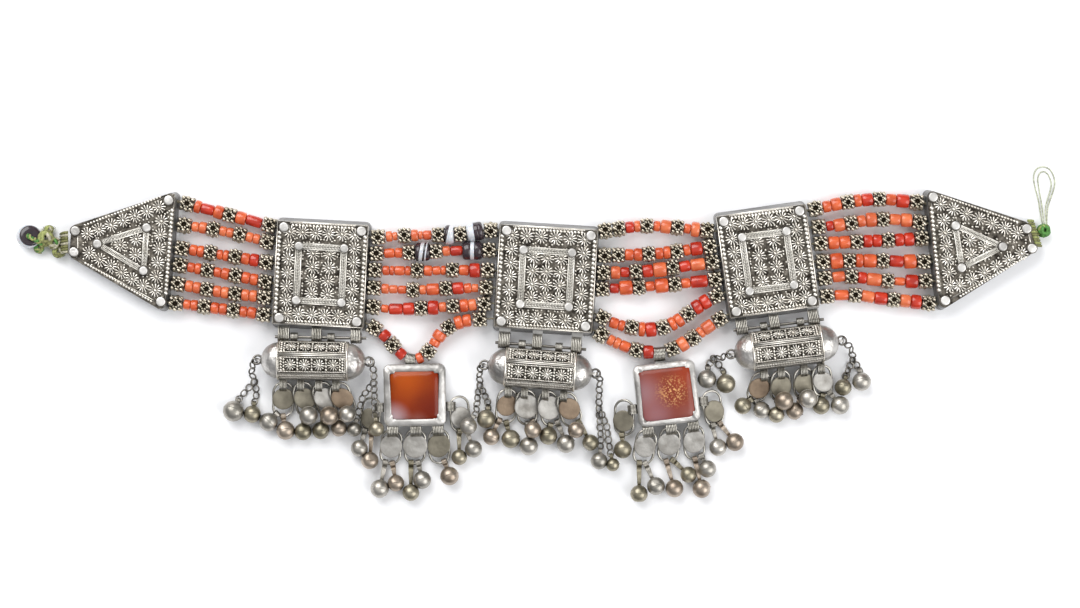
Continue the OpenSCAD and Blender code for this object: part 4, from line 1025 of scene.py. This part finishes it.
def box_front(side, w):
    """The work on a box's front and its nails, about the front's middle."""
    nail_x, nail_y = w / 2 - SIDE_TAPER - 2.6, BOX_H / 2 - END_TAPER - 2.2
    frame_x, frame_y = w * 0.24, BOX_H * 0.245
    row_x = w / 2 - SIDE_TAPER - 1.1
    rim_x, rim_y = w / 2 - SIDE_TAPER - 0.2, BOX_H / 2 - END_TAPER - 0.1
    work, nails = Pile(), Pile()
    box_rosettes(work, side, w / 2 - 5.5, BOX_H / 2 - 5.5)
    for s in (-1, 1):
        ribs(work, [-frame_x, s * frame_y, 0.85], [frame_x, s * frame_y, 0.85])
        ribs(work, [s * frame_x, -frame_y, 0.85], [s * frame_x, frame_y, 0.85])
        pearls(work, [s * row_x, 2.2 - nail_y, 0.35], [s * row_x, nail_y - 2.2, 0.35], 1.66, 0.86, 1)
        y = s * (nail_y + 0.9)
        pearls(work, [3.4 - nail_x, y, 0.4], [nail_x - 3.4, y, 0.4], 1.3, 0.6)
        y = s * (nail_y + 1.75)
        rope(work, [2.6 - nail_x, y, 0.3], [nail_x - 2.6, y, 0.3])
        for t in (-1, 1):
            nails.add(NAIL, place=[s * nail_x, t * nail_y, 0.1])
            nails.add(scaled(NAIL, [0.88, 0.88, 1]), place=[s * frame_x, t * frame_y, 0.55])
    edge_wire(work, [[s * rim_x, t * rim_y, 0.1] for s, t in CORNERS])
    return work, nails


def box_fronts():
    for (place, turn, w), side in zip(BOXES, SIDES):
        work, nails = box_front(side, w)
        for pile, name, tones in ((work, "filigree_", [FILIGREE, STRIP]), (nails, "nails_", [STUD])):
            final = Pile()
            final.add_pile(pile, lambda v: v @ rot("Z", turn).T + [*place, PLATE_T - 0.05])
            final.build(name + "box_" + side, tones, slot="silver")


END_PLATES = {
    "left": dict(inner=[[-169.9, 13.1], [-151.2, 19.2], [-152.4, 2.9]],
                 corners=[[-178.3, 18], [-178.8, 10], [-142.9, 29.6], [-145.9, -8.8]],
                 rows=[([-173.7, 16.8], [-146.6, 27], 7), ([-145.6, 21.6], [-148, -4.6], 6),
                       ([-173, 9.6], [-152.6, -2.8], 6), ([-161.3, 12.6], [-155.2, 14.8], 2),
                       ([-155.4, 8.8], [-155.4, 8.8], 1)],
                 pearl=([-141.6, 25.8], [-144, -5.6]),
                 edges=[([-174.6, 20.2], [-146.2, 30.8]), ([-174.4, 5.8], [-149.6, -8.6])],
                 outline=[[-176, 19], [-142, 30.6], [-145.6, -9], [-176.6, 8]]),
    "right": dict(inner=[[155, 20], [172.9, 12], [157.3, 4]],
                  corners=[[182, 18.8], [184, 11.4], [146.6, 30.8], [151.2, -8.4]],
                  rows=[([149.4, 28], [178.6, 17.2], 7), ([150.6, 22], [153, -2.6], 6),
                        ([156.6, -2.8], [180, 9.4], 6), ([160.4, 14.4], [166.2, 12], 2),
                        ([160.8, 8.9], [160.8, 8.9], 1)],
                  pearl=([146, 26.6], [148.8, -4.4]),
                  edges=[([150, 31.2], [178.4, 21.4]), ([157, -6.6], [181.4, 8])],
                  outline=[[147, 31], [181, 20], [183, 10], [151, -8]]),
}


def end_fronts():
    z = PLATE_T
    for side, plate in END_PLATES.items():
        work, nails = Pile(), Pile()
        rosettes = []
        inner, rim = plate["inner"], plate["outline"]
        for i in range(3):
            ribs(work, [*inner[i], z + 0.7], [*inner[(i + 1) % 3], z + 0.7], 1.9)
        for q in inner:
            nails.add(scaled(NAIL, [0.9, 0.9, 1]), place=[*q, z + 0.5])
        for q in plate["corners"]:
            nails.add(NAIL, place=[*q, z])
        for a, b, n in plate["rows"]:
            row_of(work, ROSETTE, [*a, z + 0.3], [*b, z + 0.3], n)
            rosettes += between(a, b, n - 1)
        a, b = plate["pearl"]
        pearls(work, [*a, z + 0.4], [*b, z + 0.35], 1.6, 0.82, 1)
        for a, b in plate["edges"]:
            pearls(work, [*a, z + 0.3], [*b, z + 0.3], 1.2, 0.46)
        seed_field(work, rim, z + 0.3, rosettes)
        centre = np.mean(rim, axis=0)
        edge_wire(work, [[*(centre + (np.array(q) - centre) * 1.07), z] for q in rim])
        work.build("filigree_end_" + side, [FILIGREE, STRIP], slot="silver")
        nails.build("nails_end_" + side, [STUD], slot="silver")


def drum_panel():
    """One worked face of a drum, flat, about its own middle."""
    panel = Pile()
    for s in (-1, 1):
        panel.add(tube([[-12.6, s * 3.45, 0.1], [12.6, s * 3.45, 0.1]], 0.3, 6), slot=1)
        rope(panel, [-12, s * 2.75, 0.35], [12, s * 2.75, 0.35])
        pearls(panel, [s * 11.6, -2.2, 0.4], [s * 11.6, 2.2, 0.4], 1.1, 0.5)
        rope(panel, [s * 12.5, -2.6, 0.35], [s * 12.5, 2.6, 0.35])
    row_of(panel, SMALL_ROSETTE, [-8.1, 0, 0.35], [8.1, 0, 0.35], 4)
    for f in (-10.6, -5.4, 0, 5.4, 10.6):
        pearls(panel, [f, -1.9, 0.35], [f, 1.9, 0.35], 1.2, 0.44)
    return panel


def drum_work():
    """The drums' worked faces, the ropes on their lower face and the rings where the domes begin."""
    flat = DRUM_R * math.cos(math.radians(30))
    lower_face, rope_x, rope_turns = 71, 12.4, (46, 53, 70)
    for i, side in enumerate(SIDES):
        work = Pile()
        for turn in DRUM_PANELS:
            lay = rot("X", turn)
            panel = drum_panel()
            work.add_pile(panel, lambda v: [drum_point(i, lay @ (q + [0, 0, flat])) for q in v])
        for turn in rope_turns:
            a = math.radians(turn)
            reach = flat / math.cos(math.radians(lower_face - turn)) + 0.2
            y, z = -reach * math.sin(a), reach * math.cos(a)
            rope(work, drum_point(i, [-rope_x, y, z]), drum_point(i, [rope_x, y, z]))
        for s in (-1, 1):
            ring = [drum_point(i, [s * (DRUM_L / 2 + 0.1), y, z]) for z, y, _ in circle(DOME_R + 0.25, 48)]
            work.add(tube(ring, 0.42, 6, closed=True))
        work.build("filigree_drum_" + side, [FILIGREE, STRIP], slot="silver")


def rounded_square(w, r, n=6):
    """Points round a square with round corners, from its right side upward."""
    out = []
    for k, (s, t) in enumerate([(1, 1), (-1, 1), (-1, -1), (1, -1)]):
        for j in range(n + 1):
            a = math.radians(90 * k + 90 * j / n)
            out.append([s * (w / 2 - r) + r * math.cos(a), t * (w / 2 - r) + r * math.sin(a)])
    return out


def stone_shape(w):
    """A square stone of width w whose top is a low dome with round corners."""
    sections = [[[x, y, 2.2] for x, y in rounded_square(w, 1.8)]]
    for k in range(9):
        a = math.radians(10 * k)
        inner = w - 16.6 * (1 - math.cos(a)) ** 1.3
        outline = rounded_square(inner, min(2.4, inner / 2.2))
        sections.append([[x, y, 6.3 + 2 * math.sin(a)] for x, y in outline])
    return loft(sections)


def band_shape(number, narrow):
    """The hammered band round a stone, from its outer foot; it is lumpy where wave is large."""
    sections = []
    for inset, z, wave in ((-0.03, 4.6, 0), (-0.03, 6.3, 0), (0.12, 6.75, 0.1), (0.6, 7.15, 0.4),
                           (1.3, 7.4, 0.6), (1.9, 7.45, 0.9), (2.2, 7.3, 1), (2.4, 6.8, 1)):
        ring = []
        for x, y in rounded_square(SETTING_W - 2 * inset * narrow, 2.4, 10):
            a = math.atan2(y, x)
            lump = (0.22 * math.sin(7 * a + 2 * number) + 0.2 * math.sin(17 * a + number)
                    + 0.16 * math.sin(41 * a))
            pillow = 0.5 * math.cos(4 * a) - 0.5 * max(0, math.sin(a)) ** 3
            f = 1 - (1.7 * lump - pillow) * wave / 11
            dip = (0.22 * math.sin(11 * a + 3 * number) + 0.16 * math.sin(23 * a)
                   + 0.1 * math.sin(47 * a + number))
            ring.append([x * f, y * f, z - 0.1 * wave + wave * dip])
        sections.append(ring)
    verts, faces = loft(sections)
    return verts, faces[:-2]


def settings():
    for number, side in enumerate(("left", "right")):
        place, turn = SETTINGS[number]
        narrow = 0.7 if side == "right" else 1
        gem, rim = Pile(), Pile()
        gem.add(stone_shape(SETTING_W - 2 * BEZEL_W * narrow), rot("Z", turn), [*place, 0])
        gem.build("stone_" + side, [CARNELIANS[number]], replaces=["carnelian_" + side], slot="carnelian")
        rim.add(band_shape(number, narrow), rot("Z", turn), [*place, 0])
        rim.build("bezel_" + side, [BEZEL], slot="silver")


def ring_line(straight):
    """An oval: two half circles and the straights between them."""
    out = []
    for s in (1, -1):
        for k in range(13):
            a = math.radians(180 * k / 12) + (0 if s > 0 else math.pi)
            out.append([RING_R * math.cos(a), s * straight / 2 + RING_R * math.sin(a), 0])
    return out


def drops():
    """Each oval wire ring with the disc soldered across it."""
    for name, drop_list in DROPS.items():
        pile = Pile()
        for (q, angles, bearing, straight, up), (look, r, lean) in zip(drop_list, DISCS[name]):
            turn = np.column_stack([turned(angles, e) for e in np.eye(3)])
            shift = q - turn @ bearing
            pile.add(tube(ring_line(straight), RING_WIRE_R, 8, closed=True), turn, shift, 3)
            rim = [(r - 0.15, 0.45), (r, 0.65), (r - 0.02, 1.0), (r - 0.14, 1.1), (r - 0.4, 1.15)]
            face = [(r * 0.75, 1.16), (r * 0.5, 1.1), (r * 0.2, 1.06), (0.02, 1.06)]
            verts, faces = lathe(rim + face, 36)
            shape = rot("Z", lean) @ np.diag([1 - abs(lean) / 240, 1, 1])
            pile.add((verts @ shape.T + [0, up, 0], faces), turn, shift, look)
        pile.build("rings_" + name, [*DISC_TONES, WIRE], replaces=[name], slot="silver")


# A bell's ball is drawn a little larger than its radius and raised, and its seam lies just inside it
BALL_SWELL = 1.11
BALL_RAISED = 0.12
SEAM_REACH = 1.1
SEAM_R = 0.14


def bell_ball(pile, at, way, r, look, dent=0):
    """A ball with its seam; way points from its loop to it, and dent is the bearing of its dent, if any."""
    turn = towards(way)
    verts = BALL[0].copy()
    if dent:
        side = unit(vec(math.cos(dent), math.sin(dent), 0.6 * math.sin(3 * dent)))
        depth = np.clip(verts @ side - 0.86, 0, 1)
        verts = verts - np.outer(depth * 0.9, side)
    raised = at + vec(0, 0, BALL_RAISED)
    pile.add((verts * r * BALL_SWELL, BALL[1]), turn, raised, look)
    pile.add(torus(r * SEAM_REACH, SEAM_R, 28, 5), turn, raised, look)


def wound(pile, middle, way, offsets, r, wire, look=0, steps=20, stretch=(1, 1, 1)):
    """Rings of wire side by side along a way."""
    turn = np.diag(stretch) @ towards(way)
    for f in offsets:
        pile.add(torus(r, wire, steps, 6), turn, middle + way * f, look)


def bells():
    """Each bell with the ribbed loop that hooks it on its ring."""
    for name, bell_list in BELLS.items():
        pile = Pile()
        rings = DROPS[name.replace("bells", "drops").replace("side", "setting")]
        for j, (x, y, r, raised, bearing, ring) in enumerate(bell_list):
            q, angles, top, straight, _ = rings[ring]
            w = math.radians(bearing)
            hook = q + turned(angles, vec(RING_R * math.sin(w), -straight / 2 - RING_R * math.cos(w)) - top)
            tangent = turned(angles, vec(math.cos(w), math.sin(w)))
            aim = vec(x, y, r + SEAM + raised) - hook
            way = unit(aim)
            at = hook + way * max(r + BAIL_R - 0.35, np.linalg.norm(aim))
            at[2] = max(at[2], r + SEAM + 0.02)
            down = unit(at - hook)
            look = (j * 2 + len(name)) % 3
            bell_ball(pile, at, down, r, look, 1.3 * j if j % 2 else 0)
            side = unit(tangent - np.dot(tangent, way) * way)
            wound(pile, hook, side, (-0.76, -0.38, 0, 0.38, 0.76), 1.12, 0.22, look, 18)
            reach = np.linalg.norm(at - hook) - r
            if reach > 1.1:
                across = unit(side - np.dot(side, down) * down)
                for f in (-0.72, -0.36, 0, 0.36, 0.72):
                    wire = [hook + down * s + across * f * t for s, t in
                            ((1.0, 1), (1 + 0.4 * (reach - 1), 0.9), (reach + 0.3, 0.5))]
                    pile.add(tube(wire, 0.27, 6), slot=look)
            cap = lathe([(1.0, 0), (0.95, 0.25), (0.5, 0.4)], 14)
            pile.add(cap, towards(-down), at - down * (r - 0.08), look)
        pile.build("balls_" + name, BELL_TONES, replaces=[name], slot="dark_silver")


def linked(pile, points):
    """Round links along a route, each turned across the one before, and none in the floor."""
    pitch, lowest = 2.5, 1.15
    sums = arc_lengths(points)
    n = max(1, int(round(sums[-1] / pitch)))
    for k in range(n + 1):
        s = sums[-1] * k / n
        at, ahead = (along(points, sums, min(q, sums[-1] - 1e-6)) for q in (s, s + 0.4))
        way = unit(ahead - along(points, sums, max(s - 0.4, 0)))
        flat = unit(np.cross(way, vec(0, 0, 1)))
        tilt = math.radians(28 if k % 2 else -42)
        normal = math.cos(tilt) * np.cross(flat, way) + math.sin(tilt) * flat
        pile.add(torus(1.32, 0.32, 20, 6), towards(normal), [at[0], at[1], max(at[2], lowest)], 3)


def chains():
    """The chains at the drums' ends: links to a split, then links to two bells."""
    for first, side in zip((0, 2, 4), SIDES):
        pile = Pile()
        for i, s, main, left, right, radii in CHAINS[first:first + 2]:
            start = drum_point(i, [s * (END_LOOP_X + 1.5), -0.3, 0])
            pile.add(torus(1.7, 0.42, 28, 8), towards(vec(0.2 * s, 0.35, 1)),
                     drum_point(i, [s * (END_LOOP_X + 0.6), 0.1, 0]), 3)
            linked(pile, spline([start] + main, 5))
            for j, (way, r) in enumerate(zip((left, right), radii)):
                end = np.array(way[-1], float)
                full = spline([main[-1]] + way, 5)
                sums = arc_lengths(full)
                kept = [q for q, t in zip(full, sums) if t < sums[-1] - r - 1.2]
                linked(pile, kept)
                direction = unit(end - kept[-1])
                look = (first + i + j) % 3
                bell_ball(pile, end, direction, r, look)
                flat = unit(np.cross(direction, vec(0, 0, 1)))
                wound(pile, end - direction * (r + 0.9), flat, (-0.45, 0, 0.45), 1.1, 0.24, look, 16)
        pile.build("links_" + side, [*BELL_TONES, CHAIN], replaces=["chains_" + side], slot="dark_silver")


FIVE_WIRES = [0.55 * k for k in range(-2, 3)]


def hinge_ribs(pile, i, way):
    """The box's wide hinge loops over the wire, with straps up to the box, and the drum's narrow ones."""
    wire_z, pitch = 5.6, 0.62
    for x, w in ((-14, 4.4), (-1.5, 3.8), (13.5, 4.2)):
        places = [x - w / 2 + 0.35 + pitch * k for k in range(int(w / pitch))]
        wound(pile, hinge_point(i, [0, 0, wire_z]), way, places, 1.85, 0.27)
        for at in places:
            strap = ((4.4, 6.1), (2.6, 6.3), (1.2, 7.2), (0, 7.55), (-1.3, 7.0), (-1.9, 5.6))
            pile.add(tube([hinge_point(i, [at, y, z]) for y, z in strap], 0.3, 6))
    for x in (-7.5, 6.5):
        wound(pile, drum_point(i, [x, DRUM_REACH, wire_z - DRUM_Z]), way, FIVE_WIRES, 1.55, 0.29)


def drop_loop_ribs(pile, i, way):
    for x in DROP_LOOPS[i]:
        middle = drum_point(i, [x, -DROP_LOOP_Y - 0.75, DROP_LOOP_Z - DRUM_Z + 0.2])
        wound(pile, middle, way, FIVE_WIRES, 1.5, 0.29, stretch=(1, 1.5, 1))


def bail_ribs(pile, points, beads, gap, end_gap):
    """The ribbed bail that hangs a setting on its strand."""
    p = route(points)
    sums = arc_lengths(p)
    for start, end, _, kind in rows(points, beads, gap, end_gap):
        if kind == BAIL:
            way = along(p, sums, end) - along(p, sums, start)
            n = int((end - start) / 0.55)
            for k in range(n + 1):
                at = along(p, sums, start + 0.1 + (end - start - 0.2) * k / n)
                pile.add(torus(1.75, 0.28, 20, 6), towards(way), at)
                strap = [at + vec(0, y, z) for y, z in ((-0.4, 1.7), (-1.8, 1.3), (-3.4, 0.9))]
                pile.add(tube(strap, 0.28, 6))


def setting_ribs(pile):
    for i in range(2):
        right, up = rot("Z", SETTINGS[i][1]) @ vec(1, 0), rot("Z", SETTINGS[i][1]) @ vec(0, 1)
        for x in SETTING_LOOPS:
            middle = setting_point(i, [x, -SETTING_W / 2 - 1.7, SETTING_LOOP_Z + 0.1])
            wound(pile, middle, right, [0.6 * k for k in range(-3, 4)], 1.85, 0.32, stretch=(1, 1.2, 1))
        for s in (-1, 1):
            middle = setting_point(i, [s * (SETTING_W / 2 + 1.7), SIDE_LOOP_Y, SETTING_LOOP_Z])
            wound(pile, middle, up, [0.5 * k for k in range(-3, 4)], 1.85, 0.27)


def loop_ribs():
    """Wires wound round the hinge loops, the drop loops and the bails, which look ribbed."""
    pile = Pile()
    for i in range(3):
        way = rot("Z", HINGES[i][1]) @ vec(1, 0)
        hinge_ribs(pile, i, way)
        drop_loop_ribs(pile, i, way)
    for gap in (2, 3):
        bail_ribs(pile, *GAPS[gap][5])
    setting_ribs(pile)
    pile.build("loop_ribs", [WIRE], slot="silver")


def twist(line, phase):
    """One strand of a cord that winds round a line."""
    out = []
    for q, s in zip(line, arc_lengths(line)):
        a = math.radians(phase + 150 * s)
        out.append(q + 0.62 * vec(0.7 * math.cos(a), math.sin(a)))
    return tube(out, 0.45, 7)


def toggle_bead(knots):
    """A disc of banded stone, white on its side and dark on its face."""
    tilt = rot("Y", 16) @ rot("X", -8)
    side = [(1.3, -2.4), (3.6, -2.4), (4.2, -1.6), (4.5, -0.6), (4.5, 0.5), (4.35, 1.2), (4.0, 1.7)]
    face = [(4.0, 1.7), (3.7, 2.1), (3.3, 2.3), (2.2, 2.42), (1.3, 2.4)]
    for slot, profile in ((4, side), (5, face)):
        verts, faces = lathe(profile, 40)
        verts[:, 0] += 0.16 * verts[:, 2]
        knots.add((verts, faces), tilt, [-196.6, 16, 3.3], slot)


def knot_turns(pile, x, y, z, r, slot):
    """A knot as six turns of cord, each turned another way."""
    for k in range(6):
        loop = [[r * math.cos(a) * 0.8, r * math.sin(a) * (0.6 + 0.05 * k), 0.2 * math.sin(3 * a)]
                for a in [2 * math.pi * j / 24 for j in range(24)]]
        way = towards(vec(math.cos(1.7 * k), math.sin(1.7 * k), 0.5 + 0.25 * k), 40 * k)
        shade = (slot + k) % 4 if k % 3 else slot
        pile.add(tube(loop, r * 0.2 + 0.12, 7, closed=True), way, [x, y, z], shade)


def frayed_end(pile, x, y, bearing, reach):
    """Five thin strands that fan out from a cord's end."""
    for k in range(5):
        a = math.radians(bearing + 14 * (k - 2))
        tip = [x + reach * math.cos(a), y + reach * math.sin(a), 0.6 + 0.3 * k]
        fray = [[x, y, 2.6], [(x + tip[0]) / 2, (y + tip[1]) / 2, 2.2], tip]
        pile.add(tube(fray, 0.14, 5), slot=1 + k % 3)


def cord_left():
    """The toggle bead, its knotted cord and the band that ties it to the end plate."""
    knots = Pile()
    toggle_bead(knots)
    line = spline([[-196.8, 16, 2.4], [-196.6, 16, 5], [-196, 16, 6.9], [-194.4, 15.2, 7.6],
                   [-192.6, 14, 6.6], [-191.4, 12.8, 4.6]], 6)
    knots.add(twist(line, 0), slot=1)
    knots.add(twist(line, 180), slot=0)
    for knot in ((-193, 11.8, 2.2, 2.0, 0), (-190.2, 15.2, 3.6, 3.1, 1), (-187, 13.4, 4, 2.4, 2),
                 (-185.6, 10.2, 2.8, 2.3, 1), (-189.2, 18.6, 2.2, 1.7, 1)):
        knot_turns(knots, *knot)
    for end in ((-189.8, 17.6, 100, 2.6), (-188.8, 17.8, 70, 2.4), (-190.8, 17.4, 130, 2),
                (-185.6, 9.6, -80, 1.8), (-184.6, 10, -50, 1.8), (-186.6, 9.8, -110, 1.6),
                (-193.4, 11.4, -130, 1.8), (-192.8, 11, -90, 1.6)):
        frayed_end(knots, *end)
    for k in range(8):
        y = 9.6 + 1.05 * k
        band = [[-184.8, y, 2], [-183.6, y + 0.2, 5.6], [-182.2, y + 0.4, 7.4], [-181, y + 0.5, 7.5]]
        knots.add(tube(band, 0.52, 6), slot=2 if k % 3 else 3)
    knots.build("cord_left", [*CORD_TONES, AGATE_WHITE, AGATE_DARK],
                replaces=["toggle_bead", "toggle_cord"], slot="cord")


def cord_right():
    """The small knot at the right end and the band on the end plate."""
    knots = Pile()
    for k in range(5):
        way = towards(vec(math.cos(1.3 * k), math.sin(1.3 * k), 0.5 + 0.2 * k))
        knots.add(torus(2.0, 0.75, 20, 8), way, [189.3, 18.2, 3.2], 0 if k < 4 else 1)
    for k in range(10):
        x, y = 187 - 0.34 * k, 12.4 + 1.05 * k
        band = [[x + 1.6, y, 1.6], [x + 1, y, 4.6], [x - 0.4, y, 7.2], [x - 1.6, y, 7.5]]
        knots.add(tube(band, 0.5, 6), slot=1 if k % 2 else 2)
    knots.build("cord_right", CORD_TONES[:3], replaces=["loop_knot"], slot="cord")


def paint_nodes():
    for side in SIDES:
        paint_node("box_" + side, PLATE)
        paint_node("hinge_wire_" + side, CHAIN)
    for side in ("left", "right"):
        paint_node("triangle_" + side, PLATE)
        paint_node("setting_" + side, BEZEL)
    for i, side in enumerate(SIDES):
        dome = DOME.copy()
        dark_faces(dome, [rot("Z", HINGES[i][1]) @ rot("X", turn) @ vec(0, 0, 1) for turn in DRUM_PANELS])
        paint_node("drum_" + side, dome)
    paint_node("threads", THREAD)


add_camera()
loop_threads()
add_paper()
add_light()
paint_nodes()
strands()
box_fronts()
end_fronts()
drum_work()
settings()
drops()
bells()
chains()
loop_ribs()
cord_left()
cord_right()
